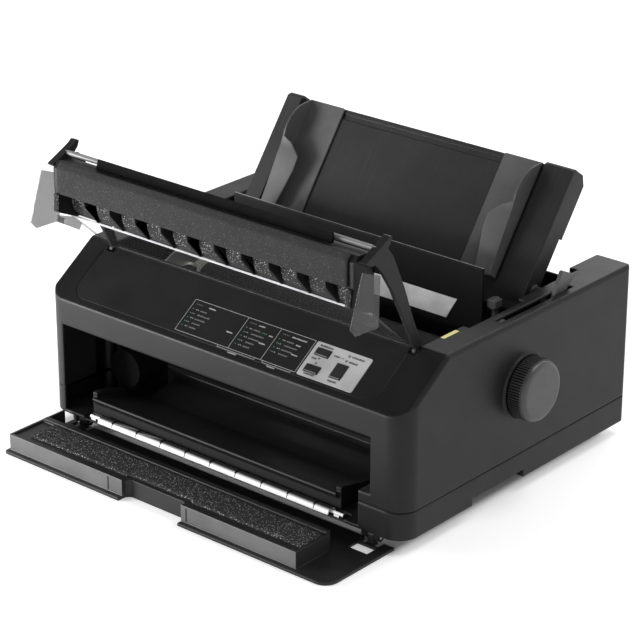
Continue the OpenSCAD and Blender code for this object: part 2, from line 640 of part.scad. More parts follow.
// Gear outline: flat-topped teeth, thinner than their gaps, one centred on the angle aim
module gear_outline(n, aim) {
    r = tooth * n / 2;
    tip = r + 0.75 * tooth;
    root = r - 1.1 * tooth;
    step = 360 / n;
    polygon([for (i = [0 : n - 1], k = [0 : 3])
        let (a = aim + i * step + [-0.27, -0.12, 0.12, 0.27][k] * step, q = [root, tip, tip, root][k])
            [q * cos(a), q * sin(a)]]);
}
module gear(y, z, n, aim, bore) difference() {
    translate([0, y, z]) along_x(gear_x, gear_x + gear_t) gear_outline(n, aim);
    bar_x(gear_x - 1, gear_x + gear_t + 1, y, z, bore);
}
module platen_gear() color([0.85, 0.84, 0.8]) seat()
    gear(platen_y, platen_z, platen_teeth, mid_angle, shaft_r + seat_gap);
module reduction_gear() color([0.85, 0.84, 0.8]) seat()
    gear(mid_y, mid_z, mid_teeth, mid_angle + 180 + 180 / mid_teeth, 3 + run_gap);
// The pinion's gap faces a tooth of the reduction gear, whose place follows from the first mesh
mid_phase = mid_angle + 180 + 180 / mid_teeth;
mid_step = 360 / mid_teeth;
lead = (pinion_angle - mid_phase) / mid_step;
lead_part = lead - floor(lead);
pinion_aim = pinion_angle + 180 + 180 / pinion_teeth + lead_part * 360 / pinion_teeth;
module motor_pinion() color([0.7, 0.6, 0.35]) seat()
    gear(pinion_y, pinion_z, pinion_teeth, pinion_aim, 1.5 + run_gap);
module gear_stud() color([0.7, 0.7, 0.72]) seat()
    bar_x(-frame_x + eps, gear_x + gear_t + 1, mid_y, mid_z, 3);
module feed_motor() color([0.3, 0.3, 0.32]) seat() {
    bar_x(gear_x + gear_t + 3, gear_x + gear_t + 33, pinion_y, pinion_z, 18);
    bar_x(gear_x - 1, gear_x + gear_t + 4, pinion_y, pinion_z, 1.5);
    block([gear_x + gear_t + 8, pinion_y - 12, wall], [gear_x + gear_t + 30, pinion_y + 12, pinion_z - 10]);
}

// Platen
bush_r = 8;
module platen_shaft() color([0.75, 0.75, 0.77]) seat()
    bar_x(-frame_x - frame_t - 4, half_w + knob_len - 2, platen_y, platen_z, shaft_r);
module platen_roller() color([0.08, 0.08, 0.085]) seat() difference() {
    bar_x(-platen_len / 2, platen_len / 2, platen_y, platen_z, platen_r);
    bar_x(-platen_len / 2 - 1, platen_len / 2 + 1, platen_y, platen_z, shaft_r + seat_gap);
}
module platen_bushes() color([0.9, 0.88, 0.82]) seat() pair() difference() {
    union() {
        bar_x(frame_x - 1, frame_x + frame_t + 1, platen_y, platen_z, bush_r);
        bar_x(frame_x - 3, frame_x - seat_gap, platen_y, platen_z, bush_r + 2);
    }
    bar_x(frame_x - 4, frame_x + frame_t + 2, platen_y, platen_z, shaft_r + run_gap);
}
// Hand knob: a ribbed skirt under a domed cap
knob_x = half_w + 2.4;
rib_count = 72;
cap_r = knob_dia / 2 - 0.4;
cap_h = knob_len * 0.28;
module platen_knob() color([0.2, 0.2, 0.205]) seat() difference() {
    union() {
        translate([knob_x, platen_y, platen_z]) rotate([90, 0, 90]) linear_extrude(knob_len - cap_h)
            polygon([for (i = [0 : 4 * rib_count - 1]) let (a = i * 90 / rib_count,
                r = knob_dia / 2 - (i % 4 < 2 ? 0 : 0.8)) [r * cos(a), r * sin(a)]]);
        translate([knob_x + knob_len - cap_h - eps, platen_y, platen_z]) rotate([0, 90, 0]) rotate_extrude()
            polygon(concat([[0, 0]], [for (a = [0 : 15 : 90]) [cap_r - cap_h + cap_h * cos(a), cap_h * sin(a)]],
                [[0, cap_h]]));
    }
    bar_x(knob_x - 1, half_w + knob_len - 1.5, platen_y, platen_z, shaft_r + seat_gap);
}

// Ribbon cartridge between the side frames
cart_half = 172;
cart_z = 104;
module ribbon_cartridge() color([0.07, 0.07, 0.07]) seat() difference() {
    union() {
        block([-cart_half, 66, cart_z], [cart_half, 104, cart_z + 16]);
        pair() block([cart_half - 12, 100, cart_z], [cart_half, 147, cart_z + 8]);
        pair() block([cart_half - 12, 138, platen_z - 7], [cart_half, 147, cart_z + eps]);
        pair() block([cart_half - eps, 76, cart_z + 2], [frame_x + frame_t, 90, cart_z + 6]);
        translate([-cart_half + 30, 84, cart_z + 15]) cylinder(h = 5, r = 9);
    }
    block([-cart_half + 60, 72, cart_z + 14], [cart_half - 60, 98, cart_z + 18]);
}
module ribbon_band() color([0.03, 0.03, 0.05]) seat()
    block([-cart_half + 12 - 2, 147 + seat_gap, platen_z - 6], [cart_half - 12 + 2, 147.5, platen_z + 6]);

// Print carriage and head
module carriage() color([0.12, 0.12, 0.12]) seat() translate([carriage_x, 0, 0]) difference() {
    union() {
        bar_x(-carriage_w / 2, carriage_w / 2, guide_y, guide_z, guide_dia / 2 + 5);
        block([-carriage_w / 2, guide_y - 14, guide_z + 2], [carriage_w / 2, guide_y + 16, guide_z + 12]);
        along_x(-12, 12) polygon([[rail_y + 4, rail_z + 2], [rail_y + 4, rail_z + 9], [guide_y - 12.6, rail_z + 9],
            [guide_y - 12.6, guide_z + 4], [rail_y + 14.6, guide_z + 4], [rail_y + 14.6, rail_z + 2]]);
        // Belt clamp
        block([-9, belt_y - 5, belt_z + belt_in - 3], [9, belt_y + 5, guide_z + 6]);
    }
    bar_x(-carriage_w, carriage_w, guide_y, guide_z, guide_dia / 2 + run_gap);
    block([-10, belt_y - belt_w / 2 - 0.3, belt_z + belt_in - 0.4], [10, belt_y + belt_w / 2 + 0.3,
        belt_z + belt_in + belt_t + 0.4]);
    block([-10, belt_y - 6, belt_z + belt_in - 4], [10, belt_y - belt_w / 2 - 0.28, belt_z + belt_in + 0.1]);
}
module print_head() color([0.4, 0.4, 0.42]) seat() translate([carriage_x, 0, 0]) {
    z0 = guide_z + 12 + seat_gap;
    block([-20, guide_y - 12, z0], [20, guide_y + 12, z0 + 5]);
    for (i = [0 : 5]) block([-20, guide_y - 12 + i * 4, z0 + 4], [20, guide_y - 10 + i * 4, platen_z + 8.5]);
    block([-16, guide_y - 10, z0 + 4], [16, guide_y + 12, z0 + 18]);
    along_x(-7, 7) polygon([[guide_y + 11, platen_z - 12], [platen_y - platen_r - 6, platen_z - 5],
        [platen_y - platen_r - 4.5, platen_z - 4], [platen_y - platen_r - 4.5, platen_z + 4],
        [platen_y - platen_r - 6, platen_z + 5], [guide_y + 11, platen_z + 8]]);
}

// Front cover, drawn open
plate_bot = front_axis_z - 9.6;
front_edge_y = front_axis_y + 3 - front_len;
cover_r = 14;
block_x = [front_left + 2.5, 160];
block_y = [front_edge_y + 5, front_edge_y + 47];
block_top = plate_bot + front_t + block_h;
scoop_x = [-46, 26];
ear_x = lug_x - 7.4;
// Outline of the cover: a small corner at the left, a wide one at the right
module cover_plan() {
    y1 = front_axis_y + 3;
    union() {
        translate([front_left + 3, front_edge_y + 3]) circle(r = 3);
        translate([front_right - cover_r, front_edge_y + cover_r]) circle(r = cover_r);
        translate([front_left + 3, front_edge_y]) square([front_right - front_left - cover_r - 3, cover_r + 1]);
        translate([front_left, front_edge_y + 3]) square([cover_r, y1 - front_edge_y - 3]);
        translate([front_left + 3, front_edge_y + cover_r]) square([front_right - front_left - 3,
            y1 - front_edge_y - cover_r]);
    }
}
module front_cover() color([0.16, 0.16, 0.165]) seat() difference() {
    union() {
        translate([0, 0, plate_bot]) linear_extrude(front_t) cover_plan();
        // Raised block with its foam tray, and the rail behind it
        block([block_x[0], block_y[0], plate_bot + front_t - eps], [block_x[1], block_y[1], block_top]);
        block([block_x[0] + 2, block_y[1] - 0.5, plate_bot + front_t - eps], [block_x[1] - 2, block_y[1] + 5,
            block_top + 1.5]);
        // Low wall along the left edge, back to the hinge
        block([block_x[0], block_y[1] - 1, plate_bot + front_t - eps], [block_x[0] + 2.5, -6, block_top]);
        // Hinge ears between the case lugs
        pair() {
            block([ear_x - 5, front_axis_y - 3, plate_bot + 1], [ear_x + 0.6 + 6, front_axis_y + 3, front_axis_z]);
            bar_x(ear_x - 5, ear_x + 6.6, front_axis_y, front_axis_z, 3);
        }
    }
    pair() bar_x(ear_x - 7, ear_x + 8, front_axis_y, front_axis_z, pin_r + run_gap);
    // Clearance for the case lugs
    pair() for (x = [lug_x, lug_x - 14]) block([x - 0.4, front_axis_y - lug_r - 1.5, plate_bot - 1],
        [x + lug_t + 0.4, front_axis_y + 8, 6]);
    // Tray for the foam
    block([block_x[0] + 3, block_y[0] + 3, block_top - 1.5], [block_x[1] - 3, block_y[1] - 2, block_top + 5]);
    // Finger scoop in the middle of the front wall
    translate([0, 0, plate_bot - 1]) linear_extrude(block_h + front_t + 5)
        soft_rect([scoop_x[0], front_edge_y - 20], [scoop_x[1], block_y[0] + 8], 6);
    // Small sunk fields beside the scoop
    for (x = [scoop_x[0] - 18, scoop_x[1] + 6]) block([x, block_y[0] - 1, plate_bot + front_t + 1],
        [x + 12, block_y[0] + 0.8, block_top - 2]);
    // Square hole at the right rear corner
    block([167, -15, plate_bot - 1], [188, -2, plate_bot + front_t + 3]);
}
module front_foam() color([0.2, 0.2, 0.2]) seat() difference() {
    block([block_x[0] + 3 + 0.3, block_y[0] + 3 + 0.3, block_top - 1.5], [block_x[1] - 3 - 0.3,
        block_y[1] - 2 - 0.3, block_top + 1]);
    translate([0, 0, block_top - 3]) linear_extrude(8)
        soft_rect([scoop_x[0] - 2, front_edge_y - 20], [scoop_x[1] + 2, block_y[0] + 10], 6);
}
module front_hinge_pins() color([0.7, 0.7, 0.72]) seat() pair()
    bar_x(lug_x - 14 + 0.5, lug_x + lug_t - 0.5, front_axis_y, front_axis_z, pin_r);

// Printer cover, drawn open, measured from its hinge as (back, up)
arm_pin_r = 1.5;
arm_x = [bay_half - 5, bay_half - 1];
arm_hub_r = 4.6;
module at_hinge() translate([0, hinge_y, hinge_z]) children();
// The cover's outlines are measured from a point just off its hinge
cover_off = [-0.6, 1.4];
module at_cover() at_hinge() translate([0, cover_off[0], cover_off[1]]) children();
beam_pts = [[-77, 77], [-77.5, 101], [-72, 106], [-54, 104], [-51, 98], [-51, 51], [-56, 51], [-61, 77]];
beam_core = [[-74, 80], [-74.5, 99.5], [-71, 102.8], [-56, 101], [-54, 96.5], [-40, 96.5], [-40, 55],
    [-54, 55], [-58, 80]];
end_pts = [[-77, 78], [-77.5, 101], [-72, 106], [-54, 104], [-51, 98], [-51, 50.4], [-58, 50.4], [-79, 60]];
rib_pts = [[-75, 78], [-74, 70], [-57.5, 50.5], [-50.5, 50.5], [-50.5, 78]];
arm_pts = [[-4, 2.5], [-21, 37], [-36, 66], [-49, 86], [-59, 95.5], [-53, 101], [-41.5, 105.2], [-34.5, 96],
    [-23.6, 73], [-19, 63], [-7.5, 33], [2.5, 9], [4, 2]];
hook_pts = [[-75, 102], [-55, 111.5], [-48, 115], [-44.5, 118], [-41, 117], [-42.5, 112], [-48, 106], [-56, 100],
    [-66, 97], [-72, 99.5]];
pocket_x = [for (i = [-4.5 : 1 : 4.5]) i * pocket_pitch];
end_t = 8;
module cover_frame() color([0.1, 0.1, 0.105]) seat() at_cover() {
    difference() {
        along_x(-beam_half + 1, beam_half - 1) polygon(beam_pts);
        // Hollow back of the beam with stiffening webs left standing
        for (i = [-3 : 2]) along_x(i * (beam_half - end_t) / 3 + 1.2, (i + 1) * (beam_half - end_t) / 3 - 1.2)
            polygon(beam_core);
    }
    pair() along_x(beam_half - end_t, beam_half) polygon(end_pts);
    for (x = pocket_x) along_x(x - 1.4, x + 1.4) polygon(rib_pts);
    pair() difference() {
        union() {
            along_x(arm_x[0], arm_x[1]) polygon(arm_pts);
            bar_x(arm_x[0], arm_x[1], -cover_off[0], -cover_off[1], arm_hub_r);
            // Bridge between the arm and the end of the beam
            along_x(beam_half - 1, arm_x[0] + 1) polygon([[-66, 96], [-66, 103], [-53, 101], [-52, 92]]);
            along_x(arm_x[0], bay_half + 2.6) polygon(hook_pts);
        }
        bar_x(arm_x[0] - 1, arm_x[1] + 1, -cover_off[0], -cover_off[1], arm_pin_r + run_gap);
        bar_x(arm_x[0] - 3, arm_x[1] - 1, rod_y, rod_z, bail_dia / 2 + seat_gap);
    }
}
flap_x = bay_half + 3.4;
window_far = 74;
window_angle = 137.7;
module cover_window() color([0.55, 0.54, 0.58, 0.6]) seat() at_cover() {
    // Clear panel from near the hinge up to the beam's bright lower edge
    rotate([window_angle, 0, 0]) block([-arm_x[0] + 0.6, 6, 0], [arm_x[0] - 0.6, window_far, window_t]);
    // End walls below the beam's ends
    pair() along_x(beam_half + 0.4 - 1.8, beam_half + 0.4) polygon([[-49, 33], [-76, 49], [-75, 55], [-52, 46.5],
        [-44, 40.5]]);
    // Side flaps that close the ends of the cover
    pair() along_x(flap_x, flap_x + 1.8) polygon([[-81, 97], [-59, 88], [-61, 42.5], [-90, 43.5], [-96.5, 51]]);
    pair() along_x(beam_half - 1, flap_x + 0.5) polygon([[-66, 43], [-66, 48], [-62, 47], [-62, 43]]);
}
foam_t = 2.4;
module cover_foam() color([0.2, 0.2, 0.2]) seat() at_cover() {
    // Long strip along the front of the beam
    along_x(-beam_half + 6, beam_half - 6) polygon([[-77.3 - foam_t, 78], [-77.3, 78], [-77.8, 101],
        [-72.3, 106.3], [-73.5, 108], [-77.5 - foam_t, 102.5]]);
    // One pad in each pocket
    for (i = [-5 : 5]) along_x(i * pocket_pitch - 10.5, i * pocket_pitch + 10.5)
        polygon([[-65.5, 75.5], [-64, 64], [-60.6, 56], [-57.7, 56], [-61.9, 75.5]]);
    // Pads on the beam's ends
    pair() along_x(beam_half - 7.5, beam_half - 1.5)
        polygon([[-80.3, 61], [-77.4 - foam_t, 77.7], [-77.4, 77.7], [-79.3, 60.2]]);
}
rod_y = -55.4;
rod_z = 108.6;
module bail_rod() color([0.82, 0.83, 0.85]) seat() at_cover() {
    bar_x(-arm_x[0] - 2.5, arm_x[0] + 2.5, rod_y, rod_z, bail_dia / 2);
}
bail_half = 140;
module bail_plate() color([0.06, 0.06, 0.065]) seat() at_cover()
    along_x(-bail_half + 5, bail_half) polygon([[-64, 105.3], [-61.5, 114], [-60, 114], [-60, 106], [-62, 105.1]]);
module cover_hinge_pins() color([0.7, 0.7, 0.72]) seat() pair()
    bar_x(arm_x[0] - 0.6, bay_half + 7.5, hinge_y, hinge_z, arm_pin_r);

// Sheet guide: a leaning board with thick ends and two sliding edge guides
board_top_y = 296;
board_top_z = 243;
tilt_down = 112;
tilt_back = 9;
tilt_pin_r = 3;
board_half = guide_w / 2;
// Point on the board: distance down from its top edge and depth behind its front face
function board_pt(s, d) = [board_top_y - s * sin(board_lean) + d * cos(board_lean),
    board_top_z - s * cos(board_lean) - d * sin(board_lean)];
tilt_y = board_pt(tilt_down, tilt_back)[0];
tilt_z = board_pt(tilt_down, tilt_back)[1];
board_t = 3;
end_depth = 20;
end_front = 5;
end_left = 19;
end_right = 33;
groove_t = 1;
lip = 3;
// Frame on the board: X along it, Y up it from its top edge, Z out of its front
module on_board() translate([0, board_top_y, board_top_z]) rotate([90 - board_lean, 0, 0]) children();
// Side outline of a thick end of the board, as (up the board, out of its front)
end_side = [[lip + 2, end_front - 3], [lip - 1, end_front], [-board_len + 20, end_front], [-board_len + 8, 0],
    [-board_len + 8, -10], [-tilt_down - 6, -end_depth + 5], [-57, -end_depth + 5], [-57, -end_depth],
    [-2, -end_depth], [lip + 2, -end_depth + 7]];
module sheet_guide() color([0.16, 0.16, 0.165]) seat() difference() {
    union() {
        on_board() along_x(-board_half + 2, board_half - 2)
            polygon([[lip, 0], [-board_len, 0], [-board_len, -board_t], [-5, -board_t], [-5, -9], [lip, -9]]);
        // Thick ends with a step in their rear edge, hollow at the back
        on_board() for (e = [[-board_half, -board_half + end_left], [board_half - end_right, board_half]])
            difference() {
                along_x(e[0], e[1]) polygon(end_side);
                translate([0, -6, -board_t]) block([e[0] + 3, -board_len, -end_depth], [e[1] - 3, 0, 0]);
            }
        pair() bar_x(board_half - 6, bay_half - 0.8, tilt_y, tilt_z, tilt_pin_r + 3);
    }
    pair() bar_x(board_half - 8, bay_half + 1, tilt_y, tilt_z, tilt_pin_r + run_gap);
    // Runner groove of the edge guides across the board
    on_board() block([-board_half + end_left, -7, -groove_t], [board_half - end_right, -1.5, 1]);
}
guide_left_in = -101;
guide_right_in = 92;
lift = 0.3;
blade_t = 1.8;
// Side wall of an edge guide, as (up the board, out of its front)
blade_len = 112;
wall_side = [[-blade_len, 13.5], [-90, 15.5], [-62, 18.5], [-50, 19.5], [-42, 21], [-32, 23], [-20, 21.5], [-10, 17],
    [-3, 10], [3.2, 2.1]];
// Plan of the tab that keeps the paper's edge down, as (in from the side wall, up the board)
tab_plan = [[-1, -42], [12, -47], [24, -58], [24, -72], [18, -105], [16, -blade_len], [-1, -blade_len]];
// An edge guide: a flat blade, a curved side wall with an inward tab, and a runner in the board's groove
module edge_guide(inner, side) on_board() mirror([side < 0 ? 1 : 0, 0, 0]) {
    a = abs(inner);
    b = a + edge_w;
    block([a, -blade_len, lift], [b, lip + 0.2, lift + blade_t]);
    block([a + 4, -6.3, 0.3 - groove_t], [b - 4, -2.2, lift + 0.5]);
    along_x(b - 1.8, b) polygon(concat([[lip + 0.2, lift], [-blade_len, lift]], wall_side));
    intersection() {
        along_x(a - 1, b) polygon(concat([for (p = wall_side) if (p[0] < -40) p],
            [for (i = [4 : -1 : 0]) [wall_side[i][0], wall_side[i][1] - 1.4]]));
        linear_extrude(40) polygon([for (p = tab_plan) [b - p[0] - 1, p[1]]]);
    }
}
module edge_guide_left() color([0.3, 0.3, 0.305]) seat() edge_guide(guide_left_in, -1);
module edge_guide_right() color([0.3, 0.3, 0.305]) seat() edge_guide(guide_right_in, 1);
module guide_hinge_pins() color([0.7, 0.7, 0.72]) seat() pair()
    bar_x(board_half - 5, bay_half + 7.5, tilt_y, tilt_z, tilt_pin_r);

// Levers
lever_x = [slot_x[0] + 1.5, slot_x[1] - 1.5];
module release_lever() color([0.24, 0.24, 0.245]) seat() difference() {
    union() {
        along_x(lever_x[0], lever_x[1]) polygon([[lever_y - 4, lever_z], [lever_y - 3.5, 140], [225, 153],
            [237, 175], [239, 175.8], [256, 167.8], [256.4, 166], [240.5, 152.6], [lever_y + 5, 142],
            [lever_y + 4, lever_z]]);
        bar_x(lever_x[0], lever_x[1], lever_y, lever_z, 7);
        bar_x(frame_x + frame_t + 0.3, lever_x[0] + eps, lever_y, lever_z, 5);
    }
    bar_x(frame_x - 1, lever_x[1] + 1, lever_y, lever_z, pin_r + run_gap);
}
thick_x = 157;
thick_y = 200;
thick_z = 124;
module thickness_lever() color([0.3, 0.3, 0.305]) seat() difference() {
    union() {
        along_x(thick_x - 2, thick_x + 2) polygon([[thick_y - 3, thick_z], [thick_y - 2.5, 138], [thick_y - 6, 141],
            [thick_y - 6, 149], [thick_y + 4, 150], [thick_y + 4, 141], [thick_y + 2.5, 138], [thick_y + 3, thick_z]]);
        block([thick_x - 5, thick_y - 6, 141.5], [thick_x + 5, thick_y + 4, 149]);
        bar_x(thick_x - 2, thick_x + 2, thick_y, thick_z, 5);
    }
    bar_x(thick_x - 3, thick_x + 3, thick_y, thick_z, pin_r + run_gap);
}
module lever_pins() color([0.7, 0.7, 0.72]) seat() {
    bar_x(frame_x - 2, lever_x[1] + 1, lever_y, lever_z, pin_r);
    bar_x(thick_x - 4, frame_x + frame_t, thick_y, thick_z, pin_r);
    difference() {
        block([thick_x + 4, thick_y - 5, 112], [frame_x - eps, thick_y + 5, thick_z + 5]);
        block([thick_x + 8, thick_y - 6, 114], [frame_x + 5, thick_y + 6, thick_z - 4]);
        bar_x(thick_x + 3, frame_x + 1, thick_y, thick_z, pin_r - eps);
    }
}

lower_case();
upper_case();
control_panel();
key_plate();
panel_lamps();
pause_key();
feed_key();
tear_key();
rubber_feet();
case_screws();
side_frame_left();
side_frame_right();
carriage_shaft();
carriage_rail();
front_paper_guide();
front_guide_strip();
front_guide_shaft();
rear_paper_guide();
tear_plate();
tear_strip();
main_board();
interface_connector();
power_supply();
power_inlet();
power_switch();
carriage_motor();
feed_motor();
drive_belt();
drive_pulley();
idle_pulley();
ribbon_cartridge();
ribbon_band();
platen_shaft();
platen_roller();
platen_gear();
platen_knob();
platen_bushes();
reduction_gear();
motor_pinion();
gear_stud();
carriage();
print_head();
front_cover();
front_foam();
front_hinge_pins();
cover_frame();
cover_window();
cover_foam();
bail_rod();
bail_plate();
cover_hinge_pins();
sheet_guide();
edge_guide_left();
edge_guide_right();
guide_hinge_pins();
release_lever();
thickness_lever();
lever_pins();
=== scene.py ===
"""Looks of a dot matrix printer with its covers open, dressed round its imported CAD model.

Lengths are millimetres in the case frame of the CAD source, except in Studio: X to the right, Y to
the rear from the front face, Z up from the case's bottom edge. to_row() turns them into the row
frame in metres, in which every mesh is made. Colours are linear light.
"""

import json  # noqa: E402
import logging  # noqa: E402
import math  # noqa: E402
from dataclasses import dataclass  # noqa: E402
from enum import Enum  # noqa: E402
from typing import Callable, ClassVar, Iterable, Optional, Sequence  # noqa: E402

import bmesh  # noqa: E402
import bpy  # noqa: E402
import numpy as np  # noqa: E402
from mathutils import Matrix, Vector  # noqa: E402

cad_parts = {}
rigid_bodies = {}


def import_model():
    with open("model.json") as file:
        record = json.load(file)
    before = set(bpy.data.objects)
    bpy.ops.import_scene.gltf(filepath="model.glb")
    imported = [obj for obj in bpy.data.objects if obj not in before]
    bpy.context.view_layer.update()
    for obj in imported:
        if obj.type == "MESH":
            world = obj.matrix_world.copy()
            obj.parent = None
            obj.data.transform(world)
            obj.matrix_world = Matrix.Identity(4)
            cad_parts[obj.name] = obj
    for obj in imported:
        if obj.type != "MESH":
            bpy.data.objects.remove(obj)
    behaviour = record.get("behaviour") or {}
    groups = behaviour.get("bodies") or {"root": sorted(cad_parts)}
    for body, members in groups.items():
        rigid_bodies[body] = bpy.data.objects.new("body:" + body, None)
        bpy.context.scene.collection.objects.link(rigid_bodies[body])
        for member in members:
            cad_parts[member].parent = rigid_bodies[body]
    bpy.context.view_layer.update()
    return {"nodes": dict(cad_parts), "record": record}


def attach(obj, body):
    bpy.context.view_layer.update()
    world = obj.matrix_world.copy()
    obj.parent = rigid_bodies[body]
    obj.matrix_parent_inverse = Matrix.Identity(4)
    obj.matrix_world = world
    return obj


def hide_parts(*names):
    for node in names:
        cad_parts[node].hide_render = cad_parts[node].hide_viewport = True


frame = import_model()

logging.basicConfig(level=logging.INFO, format="%(name)s: %(message)s")
log = logging.getLogger("printer")

HALF_DEPTH = 165.5
FLOOR_TO_CASE = 14.0
CASE_TOP = 157.0
PLATEN_AXIS = (169.0, 91.0)
MM = 0.001
WHITE = (1.0, 1.0, 1.0)
EVEN = (1.0, 1.0, 1.0)
Colour = tuple[float, float, float]
Axes = tuple[float, float, float]
Points = np.ndarray
Outline = Sequence[Sequence[float]]
Marks = Sequence[Sequence[float]]
Tells = Callable[[Points, Points], np.ndarray]


def to_row(points: Points) -> Points:
    """Case-frame millimetres to row-frame metres."""
    shift = np.array([0.0, -HALF_DEPTH, FLOOR_TO_CASE])
    return (np.asarray(points, float) + shift) * MM


def to_case(points: Points) -> Points:
    """Row-frame metres to case-frame millimetres."""
    return np.asarray(points, float) / MM + np.array([0.0, HALF_DEPTH, -FLOOR_TO_CASE])


def tone(level: float, tint: Colour = WHITE) -> Colour:
    """A grey by its 0-255 screen level, as linear light, times a slight tint.

    Args:
        level: the screen level.
        tint: factors on red, green and blue.

    Returns:
        The colour.
    """
    c = level / 255.0
    linear = c / 12.92 if c <= 0.04045 else ((c + 0.055) / 1.055) ** 2.4
    return (linear * tint[0], linear * tint[1], linear * tint[2])


# Shader expressions


class Value:
    """A number in a shader tree that can be used in Python sums."""

    def __init__(self, graph: "Graph", socket: bpy.types.NodeSocket) -> None:
        """Keeps the tree and the socket that carries the number."""
        self.graph = graph
        self.socket = socket

    def __add__(self, other: object) -> "Value":
        """Sum."""
        return self.graph.math("ADD", self, other)

    def __sub__(self, other: object) -> "Value":
        """Difference."""
        return self.graph.math("SUBTRACT", self, other)

    def __rsub__(self, other: object) -> "Value":
        """Difference from a number."""
        return self.graph.math("SUBTRACT", other, self)

    def __mul__(self, other: object) -> "Value":
        """Product."""
        return self.graph.math("MULTIPLY", self, other)

    def above(self, edge: float) -> "Value":
        """1 where the value is above an edge, otherwise 0."""
        return self.graph.math("GREATER_THAN", self, edge)

    def ramp(self, low: float, high: float) -> "Value":
        """Goes smoothly from 0 at low to 1 at high.

        Args:
            low: where it is 0; it may be the greater of the two.
            high: where it is 1.

        Returns:
            The ramp.
        """
        ends = {"Value": self, "From Min": low, "From Max": high, "To Min": 0.0, "To Max": 1.0}
        made = self.graph.node("ShaderNodeMapRange", ends, interpolation_type="SMOOTHSTEP")
        return Value(self.graph, made.outputs["Result"])


class Graph:
    """The node tree of a material or a world, with short ways to add its nodes."""

    def __init__(self, owner: bpy.types.ID, output: str = "ShaderNodeOutputMaterial") -> None:
        """Empties the owner's tree and gives it its output node.

        Args:
            owner: the material or the world.
            output: Blender's type of its output node.
        """
        self.owner = owner
        owner.use_nodes = True
        self.tree = owner.node_tree
        self.tree.nodes.clear()
        self.output = self.tree.nodes.new(output)

    def node(self, kind: str, inputs: Optional[dict] = None, **settings: object) -> bpy.types.Node:
        """Adds a node, sets its attributes, then fills its sockets.

        Args:
            kind: Blender's node type.
            inputs: values or links by socket name or number.
            settings: attributes of the node.

        Returns:
            The new node.
        """
        made = self.tree.nodes.new(kind)
        for key, value in settings.items():
            setattr(made, key, value)
        for key, value in (inputs or {}).items():
            self.feed(made.inputs[key], value)
        return made

    def feed(self, socket: bpy.types.NodeSocket, value: object) -> None:
        """Links a Value or an output socket to an input, or sets it to a number or a colour.

        Args:
            socket: the input.
            value: what it gets.
        """
        if isinstance(value, Value):
            value = value.socket
        if isinstance(value, bpy.types.NodeSocket):
            self.tree.links.new(value, socket)
        elif isinstance(value, tuple) and socket.type == "RGBA":
            socket.default_value = (*value, 1.0)
        else:
            socket.default_value = value

    def math(self, operation: str, *values: object) -> Value:
        """The result of a Math node, with its inputs in order."""
        made = self.node("ShaderNodeMath", dict(enumerate(values)), operation=operation)
        return Value(self, made.outputs[0])

    def place(self, stretch: Axes = EVEN) -> bpy.types.NodeSocket:
        """Object coordinates in metres, times factors on X, Y and Z.

        Args:
            stretch: the factors.

        Returns:
            The coordinates' socket.
        """
        coords = self.node("ShaderNodeTexCoord").outputs["Object"]
        if stretch == EVEN:
            return coords
        return self.node("ShaderNodeMapping", {"Vector": coords, "Scale": stretch}).outputs["Vector"]

    def axes(self) -> tuple[Value, Value, Value]:
        """Object X, Y and Z as three values, in metres."""
        made = self.node("ShaderNodeSeparateXYZ", {"Vector": self.place()})
        return tuple(Value(self, made.outputs[k]) for k in "XYZ")

    def noise(self, cell: float, detail: float = 3.0, stretch: Axes = EVEN) -> Value:
        """Smooth noise from 0 to 1.

        Args:
            cell: size of one blotch.
            detail: octaves of finer noise.
            stretch: factors on the coordinates; a small one draws the blotches out.

        Returns:
            The noise.
        """
        scale = 1.0 / (cell * MM)
        inputs = {"Vector": self.place(stretch), "Scale": scale, "Detail": detail, "Roughness": 0.6}
        return Value(self, self.node("ShaderNodeTexNoise", inputs).outputs["Fac"])

    def cells(self, cell: float, what: str = "Distance") -> Value:
        """Voronoi cells of a size: distance to a cell's point in cell sizes, or its random "Color"."""
        made = self.node("ShaderNodeTexVoronoi", {"Vector": self.place(), "Scale": 1.0 / (cell * MM)})
        return Value(self, made.outputs[what])

    def blend(self, factor: object, first: object, second: object) -> bpy.types.NodeSocket:
        """A colour between two: the first at factor 0, the second at 1."""
        return self.node("ShaderNodeMix", {0: factor, 6: first, 7: second}, data_type="RGBA").outputs[2]

    def bump(self, height: Value, depth: float, strength: float, roll: float = 0.0) -> bpy.types.NodeSocket:
        """A normal from a relief.

        Args:
            height: the relief, from 0 to 1.
            depth: its depth.
            strength: share of it that shows.
            roll: radius to which edges look rolled.

        Returns:
            The normal's socket.
        """
        made = self.node("ShaderNodeBump", {"Height": height, "Distance": depth * MM, "Strength": strength})
        if roll > 0.0:
            rolled = self.node("ShaderNodeBevel", {"Radius": roll * MM}, samples=6)
            self.feed(made.inputs["Normal"], rolled.outputs["Normal"])
        return made.outputs["Normal"]

    def rays(self, *kinds: str) -> Value:
        """1 for rays of any of some kinds, otherwise 0.

        Args:
            kinds: names of Light Path's outputs.

        Returns:
            The number.
        """
        path = self.node("ShaderNodeLightPath")
        seen = Value(self, path.outputs[kinds[0]])
        for kind in kinds[1:]:
            seen = self.math("MAXIMUM", seen, path.outputs[kind])
        return seen

    def show(self, shader: bpy.types.Node) -> None:
        """Links a shader to the output."""
        self.tree.links.new(shader.outputs[0], self.output.inputs["Surface"])

    def surface(self, inputs: dict) -> None:
        """Shows one Principled shader with values or links by socket name."""
        self.show(self.node("ShaderNodeBsdfPrincipled", inputs))


# Finishes


